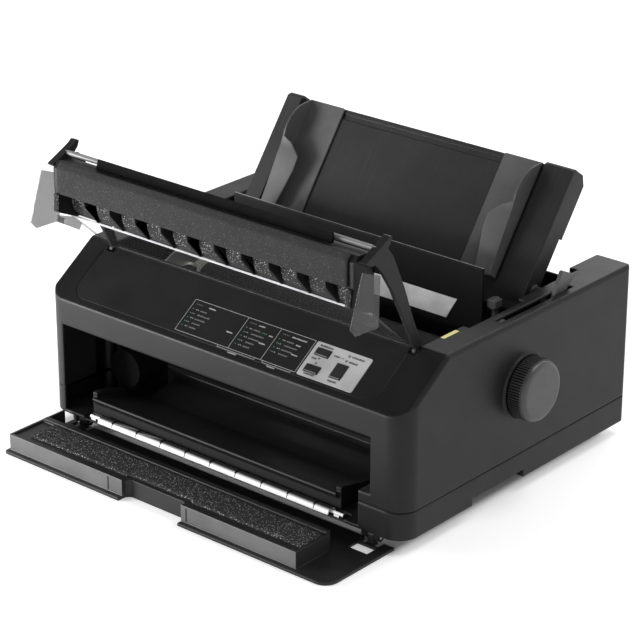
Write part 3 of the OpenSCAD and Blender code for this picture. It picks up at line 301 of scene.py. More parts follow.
@dataclass(frozen=True)
class Finish:
    """A finish, which makes its material at its first use.

    Args:
        name: the material's name.
        slot: the record's material slot that it belongs to; not used.
        colour: its main colour.
    """

    name: str
    slot: str
    colour: Colour
    made: ClassVar[dict[str, bpy.types.Material]] = {}

    def build(self, g: Graph) -> None:
        """Fills the material's tree; each finish has its own."""
        raise NotImplementedError

    def shade(self, factor: float, plus: float = 0.0) -> Colour:
        """The main colour times a factor, plus a little white."""
        return tuple(min(1.0, c * factor + plus) for c in self.colour)

    def material(self) -> bpy.types.Material:
        """The finish's material, made at the first call.

        Returns:
            The material.
        """
        if self.name not in Finish.made:
            g = Graph(bpy.data.materials.new(self.name))
            self.build(g)
            Finish.made[self.name] = g.owner
        return Finish.made[self.name]


@dataclass(frozen=True)
class MouldedPlastic(Finish):
    """Moulded plastic with a fine spark-eroded grain, slight mottling and a few specks of dust.

    Args:
        rough: middle roughness.
        grain: size of the grain.
        depth: depth of the grain.
        dust: share of the surface with pale specks.
        gloss: specular level.
        scuff: strength of the faint streaks that run up a board.
        roll: radius to which its outer edges look rolled.
    """

    rough: float = 0.42
    grain: float = 0.7
    depth: float = 0.03
    dust: float = 0.0
    gloss: float = 0.5
    scuff: float = 0.0
    roll: float = 0.0

    def build(self, g: Graph) -> None:
        """Colour and roughness follow soft blotches, the normal follows the grain.

        Args:
            g: the material's tree.
        """
        base = g.blend(g.noise(38.0, 4.0).ramp(0.3, 0.7), self.shade(0.84), self.shade(1.16))
        if self.dust > 0.0:
            speck = g.cells(2.6).ramp(0.16, 0.05) * g.noise(9.0, 1.0).above(0.62)
            base = g.blend(speck * self.dust, base, self.shade(6.0, 0.05))
        if self.scuff > 0.0:
            streak = g.noise(1.6, 2.0, (1.0, 0.02, 0.02)).ramp(0.52, 0.8)
            base = g.blend(streak * self.scuff, base, self.shade(3.2, 0.01))
        g.surface(
            {
                "Base Color": base,
                "Roughness": g.noise(22.0) * 0.14 + (self.rough - 0.07),
                "Normal": g.bump(g.noise(self.grain, 2.0), self.depth, 0.6, self.roll),
                "Specular IOR Level": self.gloss,
            }
        )


@dataclass(frozen=True)
class OpenFoam(Finish):
    """Open-celled foam: dark, with pale flecks as painted glints of cell walls that catch the light.

    Args:
        fleck: colour of the flecks, which are painted glints.
        cell: size of a cell.
        share: share of cells with a fleck.
    """

    fleck: Colour
    cell: float = 1.35
    share: float = 0.42

    def build(self, g: Graph) -> None:
        """Flecks lie in the middle of cells that their random colour picks; the cells give the relief.

        Args:
            g: the material's tree.
        """
        near = g.cells(self.cell)
        fleck = near.ramp(0.4, 0.22) * g.cells(self.cell, "Color").above(1.0 - self.share)
        body = g.blend(g.noise(14.0), self.shade(0.75), self.shade(1.3))
        g.surface(
            {
                "Base Color": g.blend(fleck, body, self.fleck),
                "Roughness": 0.92 - fleck * 0.25,
                "Normal": g.bump(near, 0.5, 0.8),
                "Specular IOR Level": 0.25,
            }
        )


@dataclass(frozen=True)
class DrawnMetal(Finish):
    """Drawn or rolled metal with fine lines.

    Args:
        rough: middle roughness.
        along: factors on X, Y and Z that draw the lines out.
        lines: strength of the lines.
    """

    rough: float = 0.28
    along: Axes = (0.04, 1.0, 1.0)
    lines: float = 1.0

    def build(self, g: Graph) -> None:
        """Roughness and relief follow streaks; the colour has faint stains.

        Args:
            g: the material's tree.
        """
        streak = g.noise(0.8, 3.0, self.along)
        stain = g.noise(16.0, 4.0)
        rough = self.rough - 0.04 - 0.08 * self.lines
        g.surface(
            {
                "Base Color": g.blend(stain.ramp(0.35, 0.75), self.colour, self.shade(0.82)),
                "Metallic": 1.0,
                "Roughness": streak * (0.16 * self.lines) + stain * 0.08 + rough,
                "Normal": g.bump(streak, 0.01, 0.4 * self.lines),
            }
        )


@dataclass(frozen=True)
class ClearPlastic(Finish):
    """Thin tinted plastic: a share of the light passes straight through, the rest meets its surface.

    Args:
        cover: share of the light that the surface keeps.
    """

    cover: float

    def build(self, g: Graph) -> None:
        """Smears change the roughness, the tint and the share that passes.

        Args:
            g: the material's tree.
        """
        smear = g.noise(30.0, 4.0, (0.4, 1.0, 1.0))
        g.surface(
            {
                "Base Color": g.blend(smear, self.colour, self.shade(0.93)),
                "Roughness": smear.ramp(0.35, 0.8) * 0.14 + 0.12,
                "Alpha": smear * (0.12 * self.cover) + self.cover * 0.94,
            }
        )


@dataclass(frozen=True)
class FadingBar(Finish):
    """Polished bar with a painted reflection: pale low down, as of the floor, and dark higher up, as of the
    inside.

    Args:
        dark: colour of its dark part.
        low: height up to which it is pale.
        high: height from which it is dark.
    """

    dark: Colour
    low: float
    high: float

    def build(self, g: Graph) -> None:
        """The colour follows the height, as painted reflection; faint stains change the roughness.

        Args:
            g: the material's tree.
        """
        height = g.axes()[2].ramp((self.low + FLOOR_TO_CASE) * MM, (self.high + FLOOR_TO_CASE) * MM)
        g.surface(
            {
                "Base Color": g.blend(height, self.colour, self.dark),
                "Roughness": g.noise(9.0) * 0.1 + 0.28,
            }
        )


@dataclass(frozen=True)
class SoftRubber(Finish):
    """Ground rubber with fine scratches round it.

    Args:
        rough: middle roughness.
    """

    rough: float = 0.6

    def build(self, g: Graph) -> None:
        """Streaks and blotches change the colour and the roughness.

        Args:
            g: the material's tree.
        """
        rub = g.noise(3.0, 4.0, (1.0, 0.15, 0.15))
        g.surface(
            {
                "Base Color": g.blend(rub.ramp(0.4, 0.75), self.colour, self.shade(1.7)),
                "Roughness": rub * 0.18 + (self.rough - 0.09),
                "Normal": g.bump(g.noise(0.7, 2.0), 0.03, 0.5),
                "Specular IOR Level": 0.4,
            }
        )


@dataclass(frozen=True)
class RibbedGrip(Finish):
    """Moulded plastic of the knob, with painted shade in the gaps between its ribs.

    Args:
        gap: colour of the painted shade in the gaps.
        floor_r: radius below which a place of the skirt is in a gap.
        skirt_x: where the skirt ends.
    """

    gap: Colour
    floor_r: float
    skirt_x: float

    def build(self, g: Graph) -> None:
        """The colour follows the distance from the axis, with painted shade low in the gaps; grain and
        blotches change the rest.

        Args:
            g: the material's tree.
        """
        x, y, z = g.axes()
        back = y - (PLATEN_AXIS[0] - HALF_DEPTH) * MM
        up = z - (PLATEN_AXIS[1] + FLOOR_TO_CASE) * MM
        reach = g.math("SQRT", back * back + up * up)
        low = reach.ramp(self.floor_r * MM, (self.floor_r - 0.45) * MM)
        on_skirt = x.ramp(self.skirt_x * MM, (self.skirt_x - 0.2) * MM)
        pale = g.blend(g.noise(12.0).ramp(0.3, 0.7), self.shade(0.9), self.shade(1.1))
        g.surface(
            {
                "Base Color": g.blend(low * on_skirt, pale, self.gap),
                "Roughness": g.noise(22.0) * 0.14 + 0.3,
                "Normal": g.bump(g.noise(0.6, 2.0), 0.02, 0.6),
            }
        )


@dataclass(frozen=True)
class CircuitBoard(Finish):
    """Lacquered board with paler tracks in two directions.

    Args:
        track: colour over the tracks.
        lanes: tracks in a metre.
    """

    track: Colour
    lanes: float = 260.0

    def build(self, g: Graph) -> None:
        """Tracks are bands of X and Y, switched on by coarse blotches.

        Args:
            g: the material's tree.
        """
        x, y, _ = g.axes()
        across, back = (g.math("FRACT", way * self.lanes).above(0.55) for way in (x, y))
        pick = g.noise(14.0, 1.0)
        tracks = across * pick.above(0.55) + back * (1.0 - pick.above(0.45))
        g.surface(
            {
                "Base Color": g.blend(g.math("MINIMUM", tracks, 1.0), self.colour, self.track),
                "Roughness": 0.42 - tracks * 0.08,
                "Normal": g.bump(tracks, 0.04, 0.7),
            }
        )


@dataclass(frozen=True)
class PlainInk(Finish):
    """Screen-printed ink, slightly worn."""

    def build(self, g: Graph) -> None:
        """Wear darkens small spots of the print.

        Args:
            g: the material's tree.
        """
        worn = g.noise(1.4).ramp(0.5, 0.85)
        base = g.blend(worn, self.colour, self.shade(0.72))
        g.surface({"Base Color": base, "Roughness": worn * 0.2 + 0.45})


CASE_BLACK = MouldedPlastic("case_black", "case_shell", tone(24), dust=0.15, gloss=0.24, roll=3.0)
# Darker, less glossy copy of the case plastic for the slope: painted shade.
SLOPE_SHADED = MouldedPlastic("slope_black", "case_shell", tone(20), 0.44, dust=0.1, gloss=0.14, roll=3.0)
PANEL_BLACK = MouldedPlastic(
    "panel_black_mat", "panel_black", tone(22), grain=0.5, depth=0.02, dust=0.1, gloss=0.2
)
INNER_BLACK = MouldedPlastic("inner_black", "inner_plastic", tone(18), 0.55, grain=0.8, gloss=0.25)
FRAME_BLACK = MouldedPlastic("frame_black", "cover_plastic", tone(22), 0.5, gloss=0.25)
BAIL_BLACK = MouldedPlastic("bail_black", "inner_plastic", tone(14), 0.8, depth=0.02, gloss=0.06)
TEAR_BLACK = MouldedPlastic("tear_black", "inner_plastic", tone(8), 0.6, depth=0.02, gloss=0.13)
COVER_BLACK = MouldedPlastic("cover_black", "cover_plastic", tone(32), 0.46, dust=0.1, gloss=0.3)
# Paler grey on the front cover's black front wall: painted light.
WALL_PAINTED_LIGHT = MouldedPlastic("cover_wall_grey", "cover_plastic", tone(83), 0.5, grain=0.6, depth=0.02)
GUIDE_BLACK = MouldedPlastic(
    "guide_black", "cover_plastic", tone(31), 0.5, dust=0.2, gloss=0.32, scuff=0.22
)
GUIDE_GREY = MouldedPlastic("edge_guide_grey", "guide_grey", tone(76), grain=0.6, depth=0.02, dust=0.1)
ROD_GREY = MouldedPlastic("bail_rod_grey", "bright_steel", tone(120), 0.35, grain=0.6, depth=0.01)
LEVER_GREY = MouldedPlastic("lever_grey", "guide_grey", tone(72), grain=0.6, depth=0.02)
KEY_PLATE = MouldedPlastic("key_plate_silver", "key_plate", tone(151), grain=0.5, depth=0.015)
KEY_BLACK = MouldedPlastic("key_cap_black", "key_black", tone(22), 0.4, grain=0.4, depth=0.01)
MOTOR_BLACK = MouldedPlastic("motor_lacquer", "motor_body", tone(52), 0.4, grain=0.5, depth=0.02)
TEAR_PALE = MouldedPlastic("tear_strip_pale", "steel", tone(226), 0.3, grain=0.8, depth=0.005)
GEAR_WHITE = MouldedPlastic(
    "gear_nylon", "gear_white", tone(205, (1.0, 0.98, 0.9)), 0.45, grain=0.8, depth=0.01
)
PULLEY_BROWN = MouldedPlastic(
    "pulley_brown", "pulley", tone(150, (1.1, 0.95, 0.65)), 0.4, grain=0.8, depth=0.01
)
LAMP_LENS = MouldedPlastic("lamp_cap", "lamp_lens", tone(110, (0.9, 1.0, 0.85)), 0.25, grain=0.8, depth=0.01)
# Pale opaque plastic on the clear sheet's far edge: painted highlight.
SHEET_EDGE_HIGHLIGHT = MouldedPlastic(
    "window_bright_edge", "clear_window", tone(205, (1.0, 1.0, 1.03)), 0.3, grain=0.8, depth=0.01
)
KNOB_GREY = RibbedGrip("knob_ribbed", "knob_grey", tone(62), gap=tone(14), floor_r=28.8, skirt_x=229.4)
FOAM = OpenFoam("foam_grey", "foam", tone(44), fleck=tone(165))
FOAM_SMOOTH = OpenFoam("foam_skin", "foam", tone(44), fleck=tone(84), cell=1.1, share=0.2)
STEEL = DrawnMetal("rolled_steel", "steel", tone(180), 0.38, along=(1.0, 1.0, 0.1))
BRIGHT_STEEL = DrawnMetal("bright_bar", "bright_steel", tone(236), 0.24, lines=0.2)
# Pale low, dark high: painted reflection of the floor and of the inside.
STRIP_BRIGHT = FadingBar("guide_strip_bright", "bright_steel", tone(244), dark=tone(24), low=4.4, high=6.3)
HEAD_ALLOY = DrawnMetal("cast_alloy", "head_alloy", tone(165), 0.45, along=EVEN)
SMOKED = ClearPlastic("smoked_flaps", "clear_window", tone(68, (1.0, 0.99, 1.06)), cover=0.5)
CLEAR_SHEET = ClearPlastic("clear_sheet", "clear_window", tone(120, (1.0, 0.99, 1.05)), cover=0.04)
RUBBER = SoftRubber("platen_rubber", "rubber", tone(34))
FOOT_RUBBER = SoftRubber("foot_rubber", "rubber", tone(40), 0.75)
BELT = SoftRubber("belt_rubber", "belt", tone(30), 0.65)
RIBBON = SoftRubber("ribbon_cloth", "ribbon", tone(16), 0.85)
BOARD = CircuitBoard("board_lacquer", "board_green", (0.01, 0.09, 0.035), track=(0.03, 0.2, 0.07))
INK = PlainInk("panel_ink", "key_plate", tone(150))
DIM_INK = PlainInk("panel_ink_dim", "key_plate", tone(98))
GREEN_INK = PlainInk("panel_ink_green", "lamp_lens", tone(120, (0.45, 1.0, 0.6)))
DARK_INK = PlainInk("plate_ink", "key_black", tone(52))
LABEL_YELLOW = PlainInk("label_yellow", "key_plate", (0.75, 0.68, 0.28))


# Meshes


def quads(rows: int, cols: int, wrap: bool) -> np.ndarray:
    """Faces of a grid of points, row by row: each joins a point to the next and to the next row.

    Args:
        rows: number of rows.
        cols: number of points in a row.
        wrap: True where the last point of a row joins its first.

    Returns:
        Four point numbers for each face.
    """
    r, c = np.meshgrid(np.arange(rows - 1), np.arange(cols if wrap else cols - 1), indexing="ij")
    n = (c + 1) % cols
    return np.stack([r * cols + c, r * cols + n, (r + 1) * cols + n, (r + 1) * cols + c], -1).reshape(-1, 4)


def ripple(points: Points, cell: float, seed: int) -> np.ndarray:
    """Smooth irregular relief, about -1 to 1: the sum of sine waves in random directions.

    Args:
        points: where it is wanted.
        cell: middle wavelength.
        seed: which waves.

    Returns:
        A height for each point.
    """
    waves = 16
    rng = np.random.default_rng(seed)
    way = rng.normal(size=(3, waves))
    way *= (2 * np.pi / cell) * rng.uniform(0.6, 1.7, waves) / np.linalg.norm(way, axis=0)
    return np.sin(np.asarray(points) @ way + rng.uniform(0, 2 * np.pi, waves)).sum(-1) / math.sqrt(waves)


def curve_through(points: Outline, count: int) -> Points:
    """Smooth open curve through points, by Catmull-Rom pieces.

    Args:
        points: the places it passes.
        count: number of points of the curve.

    Returns:
        Points evenly spread in the curve's own parameter.
    """
    p = np.asarray(points, float)
    p = np.vstack([2 * p[0] - p[1], p, 2 * p[-1] - p[-2]])
    t = np.linspace(0, len(p) - 3 - 1e-9, count)
    i = t.astype(int)
    f = (t - i)[:, None]
    a, b, c, d = p[i], p[i + 1], p[i + 2], p[i + 3]
    return 0.5 * (2 * b + (c - a) * f + (2 * a - 5 * b + 4 * c - d) * f**2 + (3 * b - a - 3 * c + d) * f**3)


def rounded_loop(corners: Outline, radius: float) -> Points:
    """Closed outline with each corner replaced by a quadratic curve.

    Args:
        corners: the outline's corners in order, in two coordinates.
        radius: length cut from each side of a corner, at most 45% of a side.

    Returns:
        The points of the outline.
    """
    p = np.asarray(corners, float)
    before, after = np.roll(p, 1, 0) - p, np.roll(p, -1, 0) - p
    lb, la = (np.linalg.norm(v, axis=1, keepdims=True) for v in (before, after))
    start = p + before / lb * np.minimum(radius, 0.45 * lb)
    end = p + after / la * np.minimum(radius, 0.45 * la)
    t = np.linspace(0, 1, 5)[None, :, None]
    loop = (1 - t) ** 2 * start[:, None] + 2 * t * (1 - t) * p[:, None] + t**2 * end[:, None]
    return loop.reshape(-1, 2)


def rectangle(low: Sequence[float], high: Sequence[float]) -> Outline:
    """The corners of a rectangle between its lowest and its highest corner.

    Args:
        low: its lowest corner.
        high: its highest corner.

    Returns:
        The corners in order.
    """
    return [[low[0], low[1]], [high[0], low[1]], [high[0], high[1]], [low[0], high[1]]]


def even_loop(loop: Points, pitch: float) -> Points:
    """A closed outline with its points spread evenly along it.

    Args:
        loop: the outline, in two coordinates.
        pitch: distance between points.

    Returns:
        The new outline.
    """
    closed = np.vstack([loop, loop[:1]])
    run = np.concatenate([[0.0], np.cumsum(np.linalg.norm(np.diff(closed, axis=0), axis=1))])
    along = np.linspace(0, run[-1], max(8, int(run[-1] / pitch)), endpoint=False)
    return np.stack([np.interp(along, run, closed[:, k]) for k in (0, 1)], -1)


def outward(loop: Points) -> Points:
    """Unit normals of closed outlines, pointing out: each point's chord, turned by a quarter.

    Args:
        loop: outlines with (a, b) in the last axis and the points before it.

    Returns:
        A normal for each point.
    """
    chord = np.roll(loop, -1, -2) - np.roll(loop, 1, -2)
    a, b = loop[..., 0], loop[..., 1]
    area = (a * np.roll(b, -1, -1) - np.roll(a, -1, -1) * b).sum(-1)[..., None, None]
    normal = np.stack([chord[..., 1], -chord[..., 0]], -1) * np.sign(area)
    return normal / np.maximum(np.linalg.norm(normal, axis=-1, keepdims=True), 1e-9)


def stack(loop: Points, levels: Sequence[float], drawn: Sequence[float], axis: int) -> Points:
    """One outline repeated at levels along an axis and drawn in by a distance at each, for tubes().

    Args:
        loop: the outline, in two coordinates.
        levels: places along the axis.
        drawn: how far the outline moves inwards at each.
        axis: which of X, Y and Z it is, from 0.

    Returns:
        The loops.
    """
    loops = loop - np.asarray(drawn, float)[:, None, None] * outward(loop)
    return np.insert(loops, axis, np.asarray(levels, float)[:, None], axis=-1)


def foam_bar(x0: float, x1: float, loop: Points, pitch: float, seed: int, relief: float = 0.18) -> Points:
    """A foam bar along X: one outline carried from end to end, uneven, with its ends drawn in.

    Each point moves along the outline's normal by the relief times the ripple, and inwards near the
    ends by a quarter circle.

    Args:
        x0: left end.
        x1: right end.
        loop: outline in (y, z), or one for each station.
        pitch: distance between stations where there is one outline.
        seed: which ripple.
        relief: height of the ripple.

    Returns:
        Loops for tubes().
    """
    cell, end, draw = 2.6, 0.9, 0.7
    count = len(loop) if loop.ndim == 3 else max(4, int((x1 - x0) / pitch))
    stations = np.linspace(x0, x1, count)
    points = np.empty((count, loop.shape[-2], 3))
    points[..., 0] = stations[:, None]
    points[..., 1:] = loop
    near = np.clip(1 - np.minimum(stations - x0, x1 - stations) / end, 0, 1)
    inward = draw * (1 - np.sqrt(1 - near**2))
    move = relief * ripple(points, cell, seed) - inward[:, None]
    points[..., 1:] += outward(np.broadcast_to(loop, (count, *loop.shape[-2:]))) * move[..., None]
    return points


def boxes(low: Points, high: Points) -> tuple[Points, np.ndarray]:
    """Closed boxes as one mesh: the eight corners of each are numbered by the bits of 0 to 7.

    Args:
        low: lowest corner of each box.
        high: highest corner of each box.

    Returns:
        Points and faces.
    """
    bits = (np.arange(8)[:, None] >> np.arange(3)) & 1
    points = low[:, None] + bits[None] * (high - low)[:, None]
    sides = np.array([[0, 2, 3, 1], [4, 5, 7, 6], [0, 1, 5, 4], [2, 6, 7, 3], [0, 4, 6, 2], [1, 3, 7, 5]])
    return points.reshape(-1, 3), (sides[None] + 8 * np.arange(len(low))[:, None, None]).reshape(-1, 4)


# Pieces. Each has a name, the CAD body that carries it, and a finish. Edges above the angle sharp, in
# degrees, aren't shaded smooth, and stands_for names the CAD nodes that the piece replaces.


def add_piece(
    name: str, mesh: bpy.types.Mesh, body: str, finish: Finish, stands_for: Sequence[str] = ()
) -> bpy.types.Object:
    """Gives a mesh its object, finish and body.

    Args:
        name: the piece's name.
        mesh: its mesh, in place.
        body: the CAD body that carries it.
        finish: its finish.
        stands_for: CAD nodes that it replaces.

    Returns:
        The object.
    """
    mesh.materials.clear()
    mesh.materials.append(finish.material())
    made = bpy.data.objects.new(name, mesh)
    bpy.context.scene.collection.objects.link(made)
    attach(made, body)
    if stands_for:
        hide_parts(*stands_for)
    return made


def add_mesh(
    name: str,
    points: Points,
    faces: Iterable[Sequence[int]],
    body: str,
    finish: Finish,
    sharp: float = 38.0,
    stands_for: Sequence[str] = (),
) -> bpy.types.Object:
    """Makes a smooth piece from points and faces, with its normals pointing out.

    Args:
        name: the piece's name.
        points: places in the case frame.
        faces: point numbers of each face.
        body: the CAD body that carries it.
        finish: its finish.
        sharp: edges above this angle stay sharp, in degrees.
        stands_for: CAD nodes that it replaces.

    Returns:
        The object.
    """
    mesh = bpy.data.meshes.new(name)
    mesh.from_pydata(to_row(points).tolist(), [], [list(map(int, f)) for f in faces])
    mesh.validate()
    work = bmesh.new()
    work.from_mesh(mesh)
    bmesh.ops.recalc_face_normals(work, faces=work.faces)
    work.to_mesh(mesh)
    work.free()
    mesh.shade_smooth()
    mesh.set_sharp_from_angle(angle=math.radians(sharp))
    return add_piece(name, mesh, body, finish, stands_for)


def tubes(
    name: str,
    parts: Sequence[Points],
    body: str,
    finish: Finish,
    sharp: float = 38.0,
    stands_for: Sequence[str] = (),
) -> bpy.types.Object:
    """Makes a piece of closed solids: in each, a loop is carried along stations, with flat ends.

    Args:
        name: the piece's name.
        parts: for each solid, an array of stations, points of a loop, and (x, y, z).
        body: the CAD body that carries it.
        finish: its finish.
        sharp: edges above this angle stay sharp, in degrees.
        stands_for: CAD nodes that it replaces.

    Returns:
        The object.
    """
    faces, base = [], 0
    for loops in parts:
        rows, cols = loops.shape[:2]
        ends = [np.arange(cols)[::-1] + base, np.arange(cols) + (rows - 1) * cols + base]
        faces += [*(quads(rows, cols, True) + base), *ends]
        base += rows * cols
    points = np.concatenate([np.asarray(loops).reshape(-1, 3) for loops in parts])
    return add_mesh(name, points, faces, body, finish, sharp, stands_for)


def lay_foam(name: str, bars: Sequence[Points], body: str, finish: Finish, stands_for: str) -> None:
    """Makes a padded piece of foam bars.

    Args:
        name: the piece's name.
        bars: loops of each bar.
        body: the CAD body that carries it.
        finish: its finish.
        stands_for: the CAD node that it replaces.
    """
    tubes(name, bars, body, finish, sharp=60.0, stands_for=[stands_for])


class Dresser:
    """Turns CAD nodes into softened pieces, or only gives them a finish."""

    def __init__(self, body_of: dict[str, str]) -> None:
        """Keeps which body carries each node."""
        self.body_of = body_of

    def paint(self, finish: Finish, *nodes: str) -> None:
        """Gives CAD nodes their finish and leaves their shapes.

        Args:
            finish: the finish.
            nodes: the nodes' names.
        """
        for node in nodes:
            materials = frame["nodes"][node].data.materials
            materials.clear()
            materials.append(finish.material())

    @staticmethod
    def merged(node: str) -> bmesh.types.BMesh:
        """A copy of a node's mesh with its triangles joined into faces.

        Args:
            node: the node's name.

        Returns:
            The copy, for editing.
        """
        work = bmesh.new()
        work.from_mesh(frame["nodes"][node].data)
        bmesh.ops.remove_doubles(work, verts=work.verts, dist=1.5e-5)
        bmesh.ops.dissolve_degenerate(work, dist=1e-6, edges=work.edges)
        flat = math.radians(0.5)
        bmesh.ops.dissolve_limit(
            work, angle_limit=flat, use_dissolve_boundaries=False, verts=work.verts, edges=work.edges
        )
        return work

    def soften(
        self,
        node: str,
        finish: Finish,
        radius: float = 0.5,
        steps: int = 2,
        limit: float = 28.0,
        wide: Optional[tuple[Callable[[Points], np.ndarray], float]] = None,
        patches: Sequence[tuple[Tells, Finish]] = (),
    ) -> None:
        """Adds a copy of a node with its edges rounded, which stands for it.

        Each sharp edge is rounded by the radius, or by less where it has no room.

        Args:
            node: the node's name.
            finish: its finish.
            radius: the usual radius.
            steps: pieces of each rounding.
            limit: edges above this angle are rounded, in degrees.
            wide: tells, from edge middles, which edges get another radius; and that radius.
            patches: each tells, from faces' middles and normals, which get another finish; and it.
        """
        stays_sharp, no_room = math.radians(38.0), 0.05
        work = self.merged(node)
        top = max(radius, wide[1]) if wide else radius
        weight = work.edges.layers.float.new("bevel_weight_edge")
        turning = [
            e for e in work.edges if len(e.link_faces) == 2 and e.calc_face_angle(0.0) > math.radians(limit)
        ]
        middles = to_case(np.array([(e.verts[0].co + e.verts[1].co) / 2 for e in turning]).reshape(-1, 3))
        chosen = wide[0](middles) if wide else np.zeros(len(turning), bool)
        sharp = set(turning)
        for edge, far in zip(turning, chosen):
            edge[weight] = min(wide[1] if far else radius, self.room(edge, sharp)) / top
        for edge in work.edges:
            if len(edge.link_faces) == 2:
                rounded = edge[weight] * top >= no_room
                edge.smooth = rounded or edge.calc_face_angle(0.0) <= stays_sharp
        mesh = bpy.data.meshes.new(node + "_dressed")
        work.to_mesh(mesh)
        work.free()
        mesh.polygons.foreach_set("use_smooth", np.ones(len(mesh.polygons), bool))
        made = add_piece(node + "_dressed", mesh, self.body_of[node], finish, [node])
        if patches:
            middle = to_case(np.array([f.center for f in mesh.polygons]))
            normal = np.array([f.normal for f in mesh.polygons])
            number = np.zeros(len(middle), np.int32)
            for slot_number, (tells, other) in enumerate(patches, 1):
                mesh.materials.append(other.material())
                number[tells(middle, normal)] = slot_number
            mesh.polygons.foreach_set("material_index", number)
        rounding = made.modifiers.new("rounding", "BEVEL")
        rounding.limit_method = "WEIGHT"
        rounding.width = top * MM
        rounding.segments = steps
        rounding.use_clamp_overlap = False
        rounding.loop_slide = False
        rounding.miter_outer = "MITER_SHARP"
        shading = made.modifiers.new("shading", "WEIGHTED_NORMAL")
        shading.keep_sharp = True

    def soften_all(self, *rows: tuple) -> None:
        """Softens many nodes.

        Args:
            rows: each a finish, a radius, the pieces of a rounding and nodes' names.
        """
        for finish, radius, steps, *nodes in rows:
            for node in nodes:
                self.soften(node, finish, radius, steps)

    @staticmethod
    def room(edge: bmesh.types.BMEdge, sharp: set[bmesh.types.BMEdge]) -> float:
        """Widest rounding an edge has room for.

        It is a part of the shortest edge that turns away from it, and of the gap to any sharp edge
        that lies beside it on the same face.

        Args:
            edge: the edge.
            sharp: the edges that are rounded.

        Returns:
            The width in millimetres.
        """
        part, in_line, most = 0.4, 0.94, 100.0
        start = edge.verts[0].co
        length = edge.calc_length()
        way = (edge.verts[1].co - start).normalized()
        least = most
        for face in edge.link_faces:
            for other in face.edges:
                if other is edge:
                    continue
                if set(other.verts) & set(edge.verts):
                    span = other.verts[1].co - other.verts[0].co
                    if span.length > 1e-9 and abs(span.normalized().dot(way)) < in_line:
                        least = min(least, span.length / MM)
                elif other in sharp:
                    for reach in (end.co - start for end in other.verts):
                        along = reach.dot(way)
                        if 0.0 < along < length:
                            least = min(least, (reach - along * way).length / MM)
        return part * least


# Sub-assemblies. Each has a build() that dresses its nodes and adds its own pieces.


class Side(Enum):
    """Left or right of a symmetric pair."""

    LEFT = -1
    RIGHT = 1


@dataclass(frozen=True)
class Slope:
    """The sloping control panel's plane.

    Args:
        low_z: height of its lower edge.
        deep: its depth.
    """

    low_z: float = 116.0
    deep: float = 59.5

    def place(self, points: Points) -> Points:
        """Turns a place on the slope by its angle and moves it to its lower edge.

        Args:
            points: places as (x, way up the slope, height over it).

        Returns:
            The places in the case frame.
        """
        length = math.hypot(self.deep, CASE_TOP - self.low_z)
        c, s = self.deep / length, (CASE_TOP - self.low_z) / length
        x, d, h = np.moveaxis(np.asarray(points, float), -1, 0)
        return np.stack([x, d * c - h * s, self.low_z + d * s + h * c], -1)


